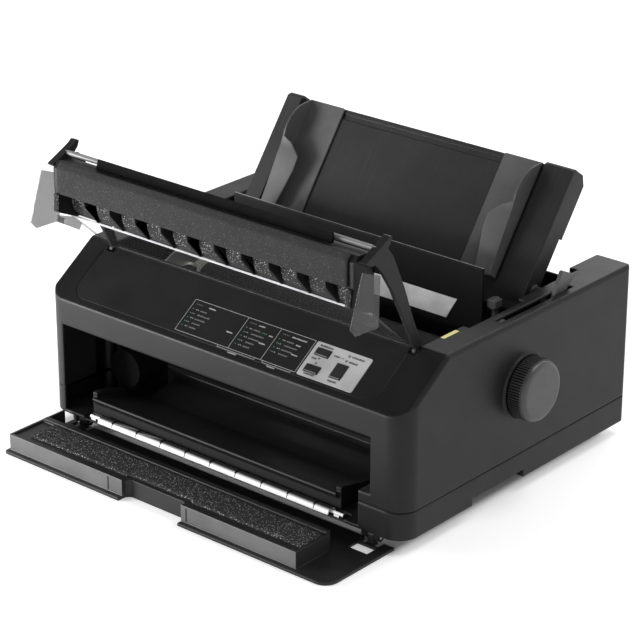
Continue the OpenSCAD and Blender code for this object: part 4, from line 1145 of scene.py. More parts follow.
@dataclass(frozen=True)
class PanelPrint:
    """Generic print of the control panel: framed fields with rows of dots and plain bars.

    Places are (x, way up the slope).

    Args:
        slope: the panel's plane.
        line: width of a frame line.
        ink_t: thickness of the ink.
        dot: side of a dot.
        dot_pitch: distance between dots.
        bar_h: height of a bar that stands where a word would.
        low: lower edge of the fields.
        top: upper edge of the fields.
        fields: left and right edge of each field, its rows, and place and length of its title bar.
        title_d: height of the titles' dots and of their bars.
        columns: place in a field of the title's dots, and of a row's green dots, bright dots and bar.
        first_row: height of the uppermost row.
        row_pitch: distance between rows.
        dot_rise: height of a row's dots over its bar's foot.
        lengths: lengths that the rows' bars take by turns.
        green_row: place and number of the loose green dots.
        plate_row: place and number of the dots on the key plate.
        foot: height of the brackets under the fields.
        brackets: left end, right end and uprights of each bracket.
        bars: place and length of the bars outside the rows.
        plate_h: height of the key plate over the slope.
        plate_bar_h: height of a bar on the key plate.
        plate_bars: place and length of each bar on the key plate.
        arrows: middles of the two diamonds on the key plate.
        arrow_half: half their width and height.
    """

    slope: Slope = Slope()
    line: float = 0.42
    ink_t: float = 0.06
    dot: float = 0.95
    dot_pitch: float = 2.0
    bar_h: float = 1.5
    low: float = 9.8
    top: float = 45.2
    fields: Marks = ((-57.0, 7.8, 5, 19.5, 8.0), (7.8, 46.6, 5, 15.0, 7.0), (46.6, 86.4, 4, 15.0, 17.0))
    title_d: tuple[float, float] = (40.4, 40.0)
    columns: tuple[float, ...] = (4.5, 3.6, 7.6, 12.6)
    first_row: float = 34.4
    row_pitch: float = 4.6
    dot_rise: float = 0.3
    lengths: tuple[float, ...] = (8.0, 10.2, 12.4, 14.6)
    green_row: tuple[float, float, int] = (30.7, 34.4, 3)
    plate_row: tuple[float, float, int] = (120.5, 36.4, 2)
    foot: float = 7.8
    brackets: tuple = ((-4.0, 40.2, (-4.0, 25.2, 39.8)), (49.2, 82.2, (49.2, 64.2, 81.8)))
    bars: Marks = (
        (-4.8, 24.2, 7.0), (33.7, 24.2, 7.0), (71.7, 24.2, 7.0), (38.7, 33.8, 5.0), (70.2, 33.8, 5.5),
        (10.2, 5.7, 10.0), (56.2, 5.7, 9.0),
    )
    plate_h: float = 0.62
    plate_bar_h: float = 2.0
    plate_bars: Marks = (
        (93.5, 41.4, 15.0), (93.0, 27.4, 5.5), (95.0, 11.4, 11.5), (112.5, 36.0, 6.5), (130.0, 40.2, 13.5),
        (130.0, 34.7, 9.5), (121.5, 12.0, 9.5),
    )
    arrows: Marks = ((100.5, 29.6), (100.5, 24.4))
    arrow_half: tuple[float, float] = (1.2, 1.3)

    def lay(self, name: str, marks: Marks, finish: Finish, height: float = 0.01) -> None:
        """Makes one piece of flat printed marks.

        Args:
            name: the piece's name.
            marks: left, lower, right and upper edge of each mark, up the slope.
            finish: its ink.
            height: height of the surface over the slope.
        """
        m = np.asarray(marks, float)
        low = np.column_stack([m[:, 0], m[:, 1], np.full(len(m), height)])
        high = np.column_stack([m[:, 2], m[:, 3], np.full(len(m), height + self.ink_t)])
        points, faces = boxes(low, high)
        add_mesh(name, self.slope.place(points), faces, "case", finish)

    def bar(self, x: float, d: float, length: float, height: float) -> list[list[float]]:
        """A bar cut into short strokes of uneven length, where a word would be.

        Args:
            x: its left end.
            d: its foot, up the slope.
            length: its length.
            height: greatest height of a stroke.

        Returns:
            The strokes as marks.
        """
        gap, least = 0.35, 0.4
        rng = np.random.default_rng(int(abs(x * 7 + d * 13)))
        strokes, at = [], x
        while at < x + length - least:
            wide = min(rng.uniform(0.7, 1.5), x + length - at)
            strokes.append([at, d, at + wide, d + height * rng.uniform(0.7, 1.0)])
            at += wide + gap
        return strokes

    def dots(self, x: float, d: float, count: int) -> list[list[float]]:
        """A row of small square dots.

        Args:
            x: left side of the first.
            d: foot of the row.
            count: number of dots.

        Returns:
            The dots as marks.
        """
        pitch, side = self.dot_pitch, self.dot
        return [[x + pitch * i, d, x + pitch * i + side, d + side] for i in range(count)]

    def frames(self) -> list[list[float]]:
        """The lines round the fields and the brackets under them.

        Returns:
            The lines as marks.
        """
        w, low, top, foot = self.line, self.low, self.top, self.foot
        left = self.fields[0][0]
        lines = []
        for x0, x1, *_ in self.fields:
            lines += [[x0, top - w, x1, top], [x1 - w, low, x1, top], [x0, low, x1, low + w]]
        lines.append([left, low, left + w, top])
        lines += [[start, foot, end, foot + w] for start, end, _ in self.brackets]
        return lines + [[x, foot, x + w, low] for _, _, uprights in self.brackets for x in uprights]

    def build(self) -> None:
        """Lays the frames, the rows and the marks on the key plate."""
        self.lay("panel_frames", self.frames(), INK)
        bright, dim, green = [], [], []
        title_dots, green_dots, bright_dots, words = self.columns
        for x0, _, rows, title_x, title in self.fields:
            dim += self.dots(x0 + title_dots, self.title_d[0], 4)
            bright += self.bar(x0 + title_x, self.title_d[1], title, self.bar_h)
            for k in range(rows):
                d = self.first_row - self.row_pitch * k
                green += self.dots(x0 + green_dots, d + self.dot_rise, 1 + k % 2)
                bright += self.dots(x0 + bright_dots, d + self.dot_rise, 2 - k % 2)
                dim += self.bar(x0 + words, d, self.lengths[k * 3 % 4], self.bar_h)
        for x, d, length in self.bars:
            bright += self.bar(x, d, length, self.bar_h)
        green += self.dots(*self.green_row)
        self.lay("panel_marks_bright", bright, INK)
        self.lay("panel_marks_dim", dim, DIM_INK)
        self.lay("panel_marks_green", green, GREEN_INK)
        plate = self.dots(*self.plate_row)
        for x, d, length in self.plate_bars:
            plate += self.bar(x, d, length, self.plate_bar_h)
        self.lay("plate_marks", plate, DARK_INK, self.plate_h)
        wide, tall = self.arrow_half
        levels = (self.plate_h, self.plate_h + self.ink_t)
        arrows = [
            [[[x - wide, d, h], [x, d - tall, h], [x + wide, d, h], [x, d + tall, h]] for h in levels]
            for x, d in self.arrows
        ]
        tubes("plate_arrows", [self.slope.place(arrow) for arrow in arrows], "case", DARK_INK)


@dataclass(frozen=True)
class CaseShell:
    """The two case halves, the feet, the screws and the panel with its print.

    Args:
        slope: the control panel's plane.
        label_low: left front corner of the yellow label beside the paper bay.
        label_high: its right rear corner.
        label_z: heights of its underside and top over the case's top.
    """

    slope: Slope = Slope()
    label_low: tuple[float, float] = (184.8, 85.0)
    label_high: tuple[float, float] = (189.2, 106.0)
    label_z: tuple[float, float] = (0.01, 0.14)

    def build(self, dresser: Dresser) -> None:
        """Softens the shells, dresses the small parts and adds the print and the label.

        Args:
            dresser: makes the softened copies.
        """

        def sloping(middle: Points, normal: Points) -> np.ndarray:
            """Faces of the slope, which lean forward and lie before its upper edge; they get a darker, less
            glossy copy of the case plastic as painted shade.

            Args:
                middle: middles of the faces.
                normal: their normals.

            Returns:
                True for each such face.
            """
            forward, upward = -0.5, 0.75
            leaning = (normal[:, 1] < forward) & (normal[:, 2] > upward)
            return leaning & (middle[:, 1] < self.slope.deep + 1)

        dresser.soften("upper_case", CASE_BLACK, 0.8, 3, limit=24.0, patches=[(sloping, SLOPE_SHADED)])
        dresser.soften_all(
            (CASE_BLACK, 0.6, 2, "lower_case"),
            (PANEL_BLACK, 0.3, 2, "control_panel"),
            (KEY_PLATE, 0.25, 2, "key_plate"),
            (KEY_BLACK, 1.0, 4, "pause_key", "feed_key", "tear_key"),
            (FOOT_RUBBER, 1.2, 3, "rubber_feet"),
        )
        dresser.paint(LAMP_LENS, "panel_lamps")
        dresser.paint(STEEL, "case_screws")
        PanelPrint().build()
        loop = rounded_loop(rectangle(self.label_low, self.label_high), radius=0.6)
        levels = [CASE_TOP + z for z in self.label_z]
        tubes("strip_label", [stack(loop, levels, (0.0, 0.0), 2)], "case", LABEL_YELLOW)


@dataclass(frozen=True)
class FrontCover:
    """The open front cover with its foam-lined block.

    Args:
        foam_x: ends of the foam.
        foam_y: front and rear of the foam.
        foam_z: underside and top of the foam.
        notch_x: ends of the finger scoop's notch in the foam.
        notch_y: how far back the notch reaches.
        steep: how sharply the foam's front edge turns into the notch.
        pitch: distance between the foam's points.
        wall_y: front wall of the block.
        plate_top: top of the cover's plate.
    """

    foam_x: tuple[float, float] = (-174.0, 156.7)
    foam_y: tuple[float, float] = (-64.5, -35.3)
    foam_z: tuple[float, float] = (3.95, 6.2)
    notch_x: tuple[float, float] = (-48.5, 28.5)
    notch_y: float = -62.0
    steep: float = 2.2
    pitch: float = 1.6
    wall_y: float = -75.0
    plate_top: float = -10.6

    def build(self, dresser: Dresser) -> None:
        """Softens the cover, gives its front wall a paler grey as painted light and lays the foam.

        Args:
            dresser: makes the softened copies.
        """

        def front_wall(middle: Points, normal: Points) -> np.ndarray:
            """Faces of the block's front wall, which get a smoother, paler finish as painted light.

            Args:
                middle: middles of the faces.
                normal: their normals.

            Returns:
                True for each such face.
            """
            y = middle[:, 1]
            flat = (normal[:, 1] < -0.9) & (y < self.wall_y + 1.2) & (y > self.wall_y - 1)
            return flat & (middle[:, 2] > self.plate_top)

        dresser.soften("front_cover", COVER_BLACK, 0.6, 3, patches=[(front_wall, WALL_PAINTED_LIGHT)])
        dresser.paint(STEEL, "front_hinge_pins")
        self.foam()

    def foam(self) -> None:
        """The foam: a slab whose front edge steps back along smooth curves at the notch."""
        count = int((self.foam_x[1] - self.foam_x[0]) / self.pitch)
        x = np.linspace(*self.foam_x, count)
        ends = [1 / (1 + np.exp(-turn * (x - at) * self.steep)) for turn, at in zip((1, -1), self.notch_x)]
        front = self.foam_y[0] + (self.notch_y - self.foam_y[0]) * ends[0] * ends[1]
        deep = self.foam_y[1] - self.foam_y[0]
        corners = rectangle((0, self.foam_z[0]), (1, self.foam_z[1]))
        base = even_loop(rounded_loop(corners, radius=0.02) * [deep, 1.0], self.pitch)
        loops = np.empty((count, len(base), 2))
        loops[..., 0] = front[:, None] + (self.foam_y[1] - front)[:, None] * base[:, 0] / deep
        loops[..., 1] = base[:, 1]
        bar = foam_bar(*self.foam_x, loops, self.pitch, seed=5)
        lay_foam("front_foam_pad", [bar], "front_cover", FOAM, "front_foam")


@dataclass(frozen=True)
class PrinterCover:
    """The open printer cover: foam-lined beam, clear window, bail rod and bail plate.

    Args:
        base: place from which the outlines and the sheet are measured, as (y, z).
        strip: outline of the front foam strip, as (back, up) from the base.
        strip_half: its half length.
        pad: outline of a pocket pad.
        pad_half: half width of a pad.
        pads: number of pads.
        pad_pitch: distance between them.
        end: outline of an end pad.
        end_x: sides of an end pad.
        sheet_turn: turn of the clear sheet from straight back, in degrees.
        sheet_x: half width of the sheet.
        sheet_over: heights between which the sheet's faces lie over its plane.
        sheet_end: distances up the sheet where the far edge starts and the sheet ends.
    """

    base: tuple[float, float] = (57.0, 154.0)
    strip: Outline = ((-79.7, 78), (-77.3, 78), (-77.8, 101), (-72.3, 106.3), (-73.5, 108), (-79.9, 102.5))
    strip_half: float = 170.0
    pad: Outline = ((-65.5, 75.5), (-64, 64), (-60.6, 56), (-57.7, 56), (-61.9, 75.5))
    pad_half: float = 10.5
    pads: int = 11
    pad_pitch: float = 31.5
    end: Outline = ((-80.3, 61), (-79.8, 77.7), (-77.4, 77.7), (-79.3, 60.2))
    end_x: tuple[float, float] = (168.5, 174.5)
    sheet_turn: float = 137.7
    sheet_x: float = 171.0
    sheet_over: tuple[float, float] = (-0.6, 2.6)
    sheet_end: tuple[float, float] = (73.2, 73.5)

    def outline(self, corners: Outline, radius: float, pitch: float) -> Points:
        """An outline given from the base, rounded and evenly spread.

        Args:
            corners: its corners as (back, up).
            radius: length cut from corners.
            pitch: distance between points.

        Returns:
            The outline in the case frame.
        """
        return even_loop(rounded_loop(corners, radius), pitch) + np.array(self.base)

    def build(self, dresser: Dresser) -> None:
        """Softens the hard parts and lays the foam.

        Args:
            dresser: makes the softened copies.
        """
        turn = math.radians(self.sheet_turn)

        def on_sheet(middle: Points) -> tuple[np.ndarray, np.ndarray]:
            """Turns faces' middles into the sheet's own directions.

            Args:
                middle: middles of the faces.

            Returns:
                Distance up the sheet, and whether a face is one of the sheet's.
            """
            back, up = middle[:, 1] - self.base[0], middle[:, 2] - self.base[1]
            over = up * math.cos(turn) - back * math.sin(turn)
            within = (np.abs(middle[:, 0]) < self.sheet_x) & (over > self.sheet_over[0])
            return back * math.cos(turn) + up * math.sin(turn), within & (over < self.sheet_over[1])

        def sheet(middle: Points, _: Points) -> np.ndarray:
            """Faces of the clear sheet."""
            along, within = on_sheet(middle)
            return within & (along < self.sheet_end[1])

        def far_edge(middle: Points, _: Points) -> np.ndarray:
            """Faces of the sheet's far edge, which take a painted highlight of the light that comes out of
            it.
            """
            along, within = on_sheet(middle)
            return within & (along > self.sheet_end[0])

        dresser.soften("cover_frame", FRAME_BLACK, 0.55, 3)
        clear = [(sheet, CLEAR_SHEET), (far_edge, SHEET_EDGE_HIGHLIGHT)]
        dresser.soften("cover_window", SMOKED, 0.25, 2, patches=clear)
        dresser.soften_all((ROD_GREY, 0.5, 3, "bail_rod"), (BAIL_BLACK, 0.3, 2, "bail_plate"))
        dresser.paint(STEEL, "cover_hinge_pins")
        strip = self.outline(self.strip, radius=0.8, pitch=1.6)
        bar = foam_bar(-self.strip_half, self.strip_half, strip, pitch=1.6, seed=9, relief=0.12)
        lay_foam("beam_foam", [bar], "printer_cover", FOAM_SMOOTH, "cover_foam")
        pad = self.outline(self.pad, radius=1.6, pitch=1.3)
        middles = (np.arange(self.pads) - (self.pads - 1) / 2) * self.pad_pitch
        half = self.pad_half
        bars = [foam_bar(m - half, m + half, pad, pitch=1.3, seed=20 + i) for i, m in enumerate(middles)]
        lay_foam("pocket_pads", bars, "printer_cover", FOAM, "cover_foam")
        end = self.outline(self.end, radius=0.6, pitch=1.0)
        spans = [sorted(side.value * x for x in self.end_x) for side in Side]
        bars = [foam_bar(*span, end, pitch=1.0, seed=40) for span in spans]
        lay_foam("end_pads", bars, "printer_cover", FOAM, "cover_foam")


@dataclass(frozen=True)
class SheetGuide:
    """The leaning sheet guide with its two sliding edge guides.

    Heights up the board are measured from its top edge.

    Args:
        top: (y, z) of the board's top edge.
        lean: lean from upright in degrees.
        half: half the board's width.
        end_radius: rounding of its thick ends.
        inner: inner edge of the left and of the right edge guide, from the middle.
        wide: width of an edge guide.
        lift: gap between board and blade.
        blade_t: thickness of the blade.
        blade_up: lower and upper end of the blade.
        runner_in: how far the runner's ends stay inside the blade's sides.
        runner_up: lower and upper edge of the runner.
        runner_out: its depth behind and before the blade's back.
        wall_t: thickness of the side wall.
        wall: (up, out) of the side wall's free edge.
        tab: (up, in) of the tab's free edge.
        tab_t: thickness of the tab.
        tab_top: upper end of the tab.
        tab_sag: how far the tab's free edge bends back at its widest.
        tab_inset: how far the tab starts inside the wall.
        soft: how far the edges of slabs are drawn in, out of the board and along X.
        rounds: corner radii of blade, runner and tab.
        steps: points of the wall's curve and stations of the tab.
    """

    top: tuple[float, float] = (296.0, 243.0)
    lean: float = 36.0
    half: float = 172.0
    end_radius: float = 2.4
    inner: tuple[float, float] = (101.0, 92.0)
    wide: float = 43.0
    lift: float = 0.3
    blade_t: float = 1.8
    blade_up: tuple[float, float] = (-112.0, 3.2)
    runner_in: float = 4.0
    runner_up: tuple[float, float] = (-6.3, -2.2)
    runner_out: tuple[float, float] = (1.0, 0.5)
    wall_t: float = 1.8
    wall: Outline = (
        (-112, 13.5), (-90, 15.5), (-62, 18.5), (-50, 19.5), (-42, 21), (-32, 23), (-20, 21.5), (-10, 17),
        (-3, 10), (3.2, 2.1),
    )
    tab: Outline = ((-112, 16), (-105, 18), (-72, 24), (-58, 24), (-47, 12), (-42, 0.4))
    tab_t: float = 1.4
    tab_top: float = -42.3
    tab_sag: float = 1.2
    tab_inset: float = 0.5
    soft: tuple[float, float] = (0.35, 0.4)
    rounds: tuple[float, float, float] = (2.0, 0.5, 0.3)
    steps: tuple[int, int] = (60, 48)

    def place(self, points: Points) -> Points:
        """Turns a place on the board by its lean and moves it to its top edge.

        Args:
            points: places as (x, up the board, out of its front).

        Returns:
            The places in the case frame.
        """
        c, s = math.sin(math.radians(self.lean)), math.cos(math.radians(self.lean))
        x, up, out = np.moveaxis(np.asarray(points, float), -1, 0)
        return np.stack([x, self.top[0] + up * c - out * s, self.top[1] + up * s + out * c], -1)

    def build(self, dresser: Dresser) -> None:
        """Softens the board and makes the edge guides.

        Args:
            dresser: makes the softened copies.
        """

        def outer(middle: Points) -> np.ndarray:
            """Edges round the thick ends."""
            return np.abs(middle[:, 0]) > self.half - 0.5

        dresser.soften("sheet_guide", GUIDE_BLACK, 0.8, 3, wide=(outer, self.end_radius))
        dresser.paint(STEEL, "guide_hinge_pins")
        for side, inner in zip(Side, self.inner):
            self.edge_guide(side, inner)

    @staticmethod
    def slab(loop: Points, low: float, high: float, soft: float, axis: int) -> Points:
        """A slab with soft edges: one outline between two levels along an axis.

        Args:
            loop: the outline.
            low: its lower level.
            high: its upper level.
            soft: how far the edges are drawn in.
            axis: which of X, Y and Z the levels follow, from 0.

        Returns:
            The loops.
        """
        return stack(loop, (low, low + soft, high - soft, high), (soft, 0.0, 0.0, soft), axis)

    def edge_guide(self, side: Side, inner: float) -> None:
        """One edge guide: flat blade, runner, curved side wall and the tab over the paper's edge.

        The wall's edge is a smooth curve through its points. The tab follows that curve, and its
        width at each place is read from the tab's outline.

        Args:
            side: which guide.
            inner: its inner edge, from the middle.
        """
        outer, low = inner + self.wide, self.blade_up[0]
        face = rounded_loop(rectangle((inner, low), (outer, self.blade_up[1])), self.rounds[0])
        blade = self.slab(face, self.lift, self.lift + self.blade_t, self.soft[0], 2)
        ends = (inner + self.runner_in, self.runner_up[0]), (outer - self.runner_in, self.runner_up[1])
        behind, before = self.runner_out
        bar = rounded_loop(rectangle(*ends), self.rounds[1])
        runner = self.slab(bar, self.lift - behind, self.lift + before, self.soft[0], 2)
        rim = curve_through(self.wall, self.steps[0])
        profile = np.vstack([[self.blade_up[1], self.lift], [low, self.lift], rim])
        wall = self.slab(profile, outer - self.wall_t, outer, self.soft[1], 0)
        up = np.linspace(low, self.tab_top, self.steps[1])
        reach = np.interp(up, *np.transpose(self.tab))
        height = np.interp(up, rim[:, 0], rim[:, 1])
        section = rounded_loop(rectangle((0, -self.tab_t), (1, 0)), self.rounds[2])
        inward = reach[:, None] * section[:, 0]
        sag = self.tab_sag * (inward / max(width for _, width in self.tab)) ** 2
        tab = np.empty((len(up), len(section), 3))
        tab[..., 0] = outer - self.tab_inset - inward
        tab[..., 1] = up[:, None]
        tab[..., 2] = height[:, None] + section[:, 1] - sag
        parts = [self.place(part * [side.value, 1, 1]) for part in (blade, runner, wall, tab)]
        name = f"edge_guide_{side.name.lower()}"
        tubes(name + "_formed", parts, name, GUIDE_GREY, stands_for=[name])


@dataclass(frozen=True)
class PlatenUnit:
    """The platen with its shaft, gear, bushes and hand knob.

    Args:
        knob_x: where the knob starts.
        skirt: length of the ribbed skirt.
        length: length of the knob.
        radius: radius over the ribs.
        ribs: number of ribs.
        rib_d: depth of the gaps between the ribs.
        cap_r: radius of the cap.
        crisp: how square the ribs are.
    """

    knob_x: float = 216.9
    skirt: float = 12.96
    length: float = 18.0
    radius: float = 29.0
    ribs: int = 72
    rib_d: float = 0.9
    cap_r: float = 28.3
    crisp: float = 3.0

    def build(self, dresser: Dresser) -> None:
        """Dresses the roller and makes the knob.

        Args:
            dresser: makes the softened copies.
        """
        dresser.soften_all(
            (RUBBER, 0.6, 3, "platen_roller"),
            (BRIGHT_STEEL, 0.5, 3, "platen_shaft"),
            (GEAR_WHITE, 0.3, 2, "platen_bushes"),
        )
        dresser.paint(GEAR_WHITE, "platen_gear")
        self.knob()

    def knob(self) -> None:
        """The hand knob: rings round the axis.

        The radius is the profile's, less a smooth square wave of the angle on the skirt.
        """
        ease = np.linspace(0, np.pi / 2, 10)
        roll = self.length - self.skirt
        skirt_a = np.array([0.0, 0.25, 0.6, 6.0, self.skirt - 0.6, self.skirt - 0.2, self.skirt])
        skirt_r = self.radius - np.array([0.6, 0.25, 0.0, 0.0, 0.0, 0.1, 0.4])
        roll_a = self.skirt + 0.15 + (roll - 0.15) * np.sin(ease)
        roll_r = self.cap_r - roll * (1 - np.cos(ease))
        face_r = roll_r[-1] * np.array([0.92, 0.6, 0.3, 0.08])
        along = np.concatenate([skirt_a, roll_a, np.full(len(face_r), self.length)])
        radius = np.concatenate([skirt_r, roll_r, face_r])
        ribbed = np.concatenate([[1, 1, 1, 1, 1, 1, 0.4], np.zeros(len(along) - len(skirt_a))])
        angle = np.linspace(0, 2 * np.pi, self.ribs * 8, endpoint=False)
        wave = 0.5 - 0.5 * np.tanh(self.crisp * np.cos(self.ribs * angle)) / np.tanh(self.crisp)
        r = radius[:, None] - self.rib_d * ribbed[:, None] * wave
        loops = np.empty((len(along), len(angle), 3))
        loops[..., 0] = (self.knob_x + along)[:, None]
        loops[..., 1] = PLATEN_AXIS[0] + r * np.cos(angle)
        loops[..., 2] = PLATEN_AXIS[1] + r * np.sin(angle)
        tubes("hand_knob", [loops], "platen", KNOB_GREY, sharp=32.0, stands_for=["platen_knob"])


@dataclass(frozen=True)
class PaperPath:
    """Guides, ribs and the tear plate along the paper's way.

    Args:
        plate_top: height from which the tear plate's edge is bright.
        rib_dark: height from which the front guide's ribs are dark; below it they take the bar's painted
            reflection.
    """

    plate_top: float = 178.0
    rib_dark: float = 5.2

    def build(self, dresser: Dresser) -> None:
        """Softens the guides and brightens the tear edge.

        Args:
            dresser: makes the softened copies.
        """

        def tear_edge(middle: Points, _: Points) -> np.ndarray:
            """Faces of the plate's upper edge."""
            return middle[:, 2] > self.plate_top

        def low_rib(middle: Points, normal: Points) -> np.ndarray:
            """Faces of the ribs below the place where they turn dark, which take the bar's painted
            reflection.
            """
            return (middle[:, 2] < self.rib_dark) & (np.abs(normal[:, 0]) < 0.5)

        dresser.soften("front_paper_guide", INNER_BLACK, 0.8, 3)
        # The strip and the low ribs take the bar's painted reflection of the floor.
        dresser.soften("front_guide_strip", STRIP_BRIGHT, 0.2, 2)
        dresser.soften("front_guide_shaft", INNER_BLACK, 0.25, 2, patches=[(low_rib, STRIP_BRIGHT)])
        dresser.soften("rear_paper_guide", INNER_BLACK, 0.6, 2)
        dresser.soften("tear_plate", TEAR_BLACK, 0.2, 2, patches=[(tear_edge, STEEL)])
        dresser.soften("tear_strip", TEAR_PALE, 0.12, 2)


@dataclass(frozen=True)
class Mechanism:
    """Frames, shafts, carriage, ribbon and the two drives.

    Args:
        edge: rounding of the carriage and its shaft.
        housing: rounding of the ribbon cartridge.
        sheet: rounding of the frames, the rail and the print head.
        motor: rounding of the motors.
        small: rounding of the belt and its pulleys.
    """

    edge: float = 0.5
    housing: float = 0.8
    sheet: float = 0.3
    motor: float = 0.6
    small: float = 0.2

    def build(self, dresser: Dresser) -> None:
        """Dresses every part of the mechanism.

        Args:
            dresser: makes the softened copies.
        """
        dresser.soften_all(
            (STEEL, self.sheet, 2, "side_frame_left", "side_frame_right", "carriage_rail"),
            (BRIGHT_STEEL, self.edge, 2, "carriage_shaft"),
            (INNER_BLACK, self.housing, 3, "ribbon_cartridge"),
            (INNER_BLACK, self.edge, 2, "carriage"),
            (HEAD_ALLOY, self.sheet, 2, "print_head"),
            # The carriage motor takes the darkest black as painted shade of the dark inside.
            (BAIL_BLACK, self.motor, 3, "carriage_motor"),
            (MOTOR_BLACK, self.motor, 3, "feed_motor"),
            (BELT, self.small, 2, "drive_belt"),
            (PULLEY_BROWN, self.small, 2, "drive_pulley"),
            (GEAR_WHITE, self.small, 2, "idle_pulley"),
        )
        dresser.paint(RIBBON, "ribbon_band")
        dresser.paint(GEAR_WHITE, "reduction_gear")
        dresser.paint(PULLEY_BROWN, "motor_pinion")
        dresser.paint(STEEL, "gear_stud")


@dataclass(frozen=True)
class Electronics:
    """Board, power supply and the sockets at the rear.

    Args:
        edge: rounding of the moulded parts.
        shell: rounding of the connector's metal shell.
        board: rounding of the board.
    """

    edge: float = 0.4
    shell: float = 0.3
    board: float = 0.2

    def build(self, dresser: Dresser) -> None:
        """Dresses the electronics.

        Args:
            dresser: makes the softened copies.
        """
        dresser.soften_all(
            (BOARD, self.board, 2, "main_board"),
            (STEEL, self.shell, 2, "interface_connector"),
            (MOTOR_BLACK, self.edge, 2, "power_supply"),
            (KEY_BLACK, self.edge, 2, "power_inlet", "power_switch"),
        )


@dataclass(frozen=True)
class Levers:
    """The release lever and the paper thickness lever.

    Args:
        edge: rounding of the levers.
        pin: rounding of their pins.
    """

    edge: float = 0.6
    pin: float = 0.2

    def build(self, dresser: Dresser) -> None:
        """Dresses the levers and their pins.

        Args:
            dresser: makes the softened copies.
        """
        dresser.soften_all(
            (LEVER_GREY, self.edge, 3, "release_lever", "thickness_lever"),
            (STEEL, self.pin, 2, "lever_pins"),
        )


# Studio


@dataclass(frozen=True)
class Lamp:
    """A square area lamp, in the row frame in metres.

    Args:
        name: its name.
        place: where it stands.
        aim: the point that it faces.
        size: length of its side.
        power: its power in watts.
    """

    name: str
    place: Axes
    aim: Axes
    size: float
    power: float

    def build(self) -> None:
        """Adds the lamp."""
        data = bpy.data.lights.new(self.name, "AREA")
        data.shape = "SQUARE"
        data.size = self.size
        data.energy = self.power
        made = bpy.data.objects.new(self.name, data)
        turn = (Vector(self.aim) - Vector(self.place)).to_track_quat("-Z", "Y")
        made.matrix_world = Matrix.Translation(self.place) @ turn.to_matrix().to_4x4()
        bpy.context.scene.collection.objects.link(made)


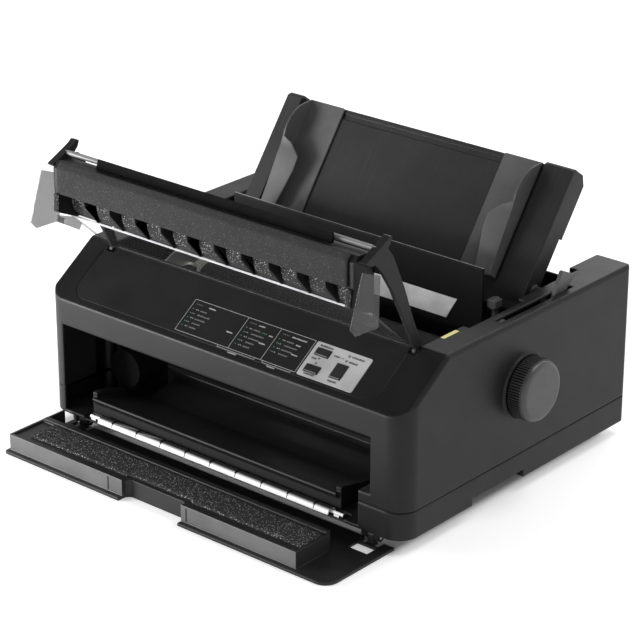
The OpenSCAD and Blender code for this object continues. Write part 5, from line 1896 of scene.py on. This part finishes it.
@dataclass(frozen=True)
class Studio:
    """Camera, lamps, world and floor, in the row frame in metres.

    Args:
        eye: place of the camera.
        azimuth: its turn from the front, in degrees.
        elevation: its height, in degrees.
        roll: its roll, in degrees.
        lens: focal length in millimetres.
        sensor: width of the picture in the camera, in millimetres.
        horizon: brightness of the world at the horizon.
        zenith: its brightness overhead.
        floor_half: half the floor's width.
        floor_white: albedo of the floor.
        glow: light that the floor gives of its own, to be plain white in the picture.
        under: ends along X and Y of the floor under the case and under the open cover, which
            has no such glow.
        under_edge: half the width over which the glow fades there.
        lamps: the lamps.
    """

    eye: Axes = (1.4174, -1.6736, 1.0510)
    azimuth: float = 40.66
    elevation: float = 23.24
    roll: float = 0.06
    lens: float = 144.284
    sensor: float = 36.0
    horizon: float = 1.15
    zenith: float = 0.14
    floor_half: float = 6.0
    floor_white: float = 0.8
    glow: float = 0.42
    under: tuple[Outline, ...] = (((-0.208, 0.2), (-0.165, 0.15)), ((-0.19, 0.15), (-0.222, -0.155)))
    under_edge: float = 0.006
    lamps: tuple[Lamp, ...] = (
        Lamp("front_lamp", (-0.85, -0.95, 0.22), (-0.15, -0.16, 0.08), 0.5, 22.5),
        Lamp("high_lamp", (0.9, 0.8, 2.6), (0.0, 0.0, 0.1), 1.4, 37.0),
        Lamp("rear_lamp", (-0.6, 2.6, 1.6), (0.0, 0.0, 0.1), 1.4, 22.0),
    )

    def camera(self) -> None:
        """Makes the camera: it looks from the eye along the given turn, height and roll."""
        az, el, roll = (math.radians(v) for v in (self.azimuth, self.elevation, self.roll))
        back = Vector((math.sin(az) * math.cos(el), -math.cos(az) * math.cos(el), math.sin(el)))
        right = Vector((math.cos(az), math.sin(az), 0.0))
        up = back.cross(right)
        across = right * math.cos(roll) + up * math.sin(roll)
        upward = up * math.cos(roll) - right * math.sin(roll)
        data = bpy.data.cameras.new("camera")
        data.lens = self.lens
        data.sensor_width = self.sensor
        data.clip_start, data.clip_end = 0.05, 30.0
        made = bpy.data.objects.new("camera", data)
        turn = Matrix((across, upward, back)).transposed().to_4x4()
        made.matrix_world = Matrix.Translation(self.eye) @ turn
        bpy.context.scene.collection.objects.link(made)
        bpy.context.scene.camera = made

    def world(self) -> None:
        """A white studio: bright at the horizon and dim overhead, plain white to the camera."""
        g = Graph(bpy.data.worlds.new("studio"), "ShaderNodeOutputWorld")
        coords = g.node("ShaderNodeTexCoord").outputs["Generated"]
        height = Value(g, g.node("ShaderNodeSeparateXYZ", {0: coords}).outputs["Z"])
        ends = {"From Min": 0.4, "From Max": 0.6, "To Min": self.horizon, "To Max": self.zenith}
        sky = g.node("ShaderNodeMapRange", {"Value": height, **ends}, interpolation_type="SMOOTHSTEP")
        light = g.node("ShaderNodeBackground", {"Color": sky.outputs["Result"]})
        white = g.node("ShaderNodeBackground", {"Color": WHITE})
        seen = g.rays("Is Camera Ray", "Is Transmission Ray")
        g.show(g.node("ShaderNodeMixShader", {0: seen, 1: light.outputs[0], 2: white.outputs[0]}))
        bpy.context.scene.world = g.owner

    def floor(self) -> None:
        """A pale floor: a grid with its middle under the object, white to the camera but for the shadow."""
        lines = 9
        side = np.linspace(-self.floor_half, self.floor_half, lines)
        x, y = np.meshgrid(side, side)
        points = np.column_stack([x.ravel(), y.ravel(), np.zeros(x.size)])
        mesh = bpy.data.meshes.new("floor")
        mesh.from_pydata(points.tolist(), [], quads(lines, lines, False).tolist())
        g = Graph(bpy.data.materials.new("floor_paper"))
        plain = g.node("ShaderNodeBsdfDiffuse", {"Color": (self.floor_white,) * 3})
        glow = g.node("ShaderNodeEmission", {"Color": WHITE, "Strength": self.glow})
        both = g.node("ShaderNodeAddShader", {0: plain.outputs[0], 1: glow.outputs[0]})
        seen = g.rays("Is Camera Ray", "Is Glossy Ray", "Is Transmission Ray")
        edge = self.under_edge
        for area in self.under:
            across, back = (
                value.ramp(low - edge, low + edge) * value.ramp(high + edge, high - edge)
                for value, (low, high) in zip(g.axes(), area)
            )
            seen = seen * (1.0 - across * back)
        g.show(g.node("ShaderNodeMixShader", {0: seen, 1: plain.outputs[0], 2: both.outputs[0]}))
        mesh.materials.append(g.owner)
        made = bpy.data.objects.new("floor", mesh)
        bpy.context.scene.collection.objects.link(made)

    def build(self) -> None:
        """Sets up the world, the lamps and the floor."""
        self.world()
        for lamp in self.lamps:
            lamp.build()
        self.floor()
        bpy.context.scene.view_settings.view_transform = "Standard"


def main() -> None:
    """Builds the studio and every sub-assembly."""
    studio = Studio()
    studio.camera()
    bodies = frame["record"]["behaviour"]["bodies"]
    dresser = Dresser({node: body for body, nodes in bodies.items() for node in nodes})
    units = (
        CaseShell, FrontCover, PrinterCover, SheetGuide, PlatenUnit, PaperPath, Mechanism, Electronics, Levers
    )
    for unit in units:
        before = set(bpy.data.objects)
        unit().build(dresser)
        for made in sorted(set(bpy.data.objects) - before, key=lambda o: o.name):
            log.info("%s: %s, %d faces", unit.__name__, made.name, len(made.data.polygons))
    studio.build()


if __name__ == "__main__":
    main()
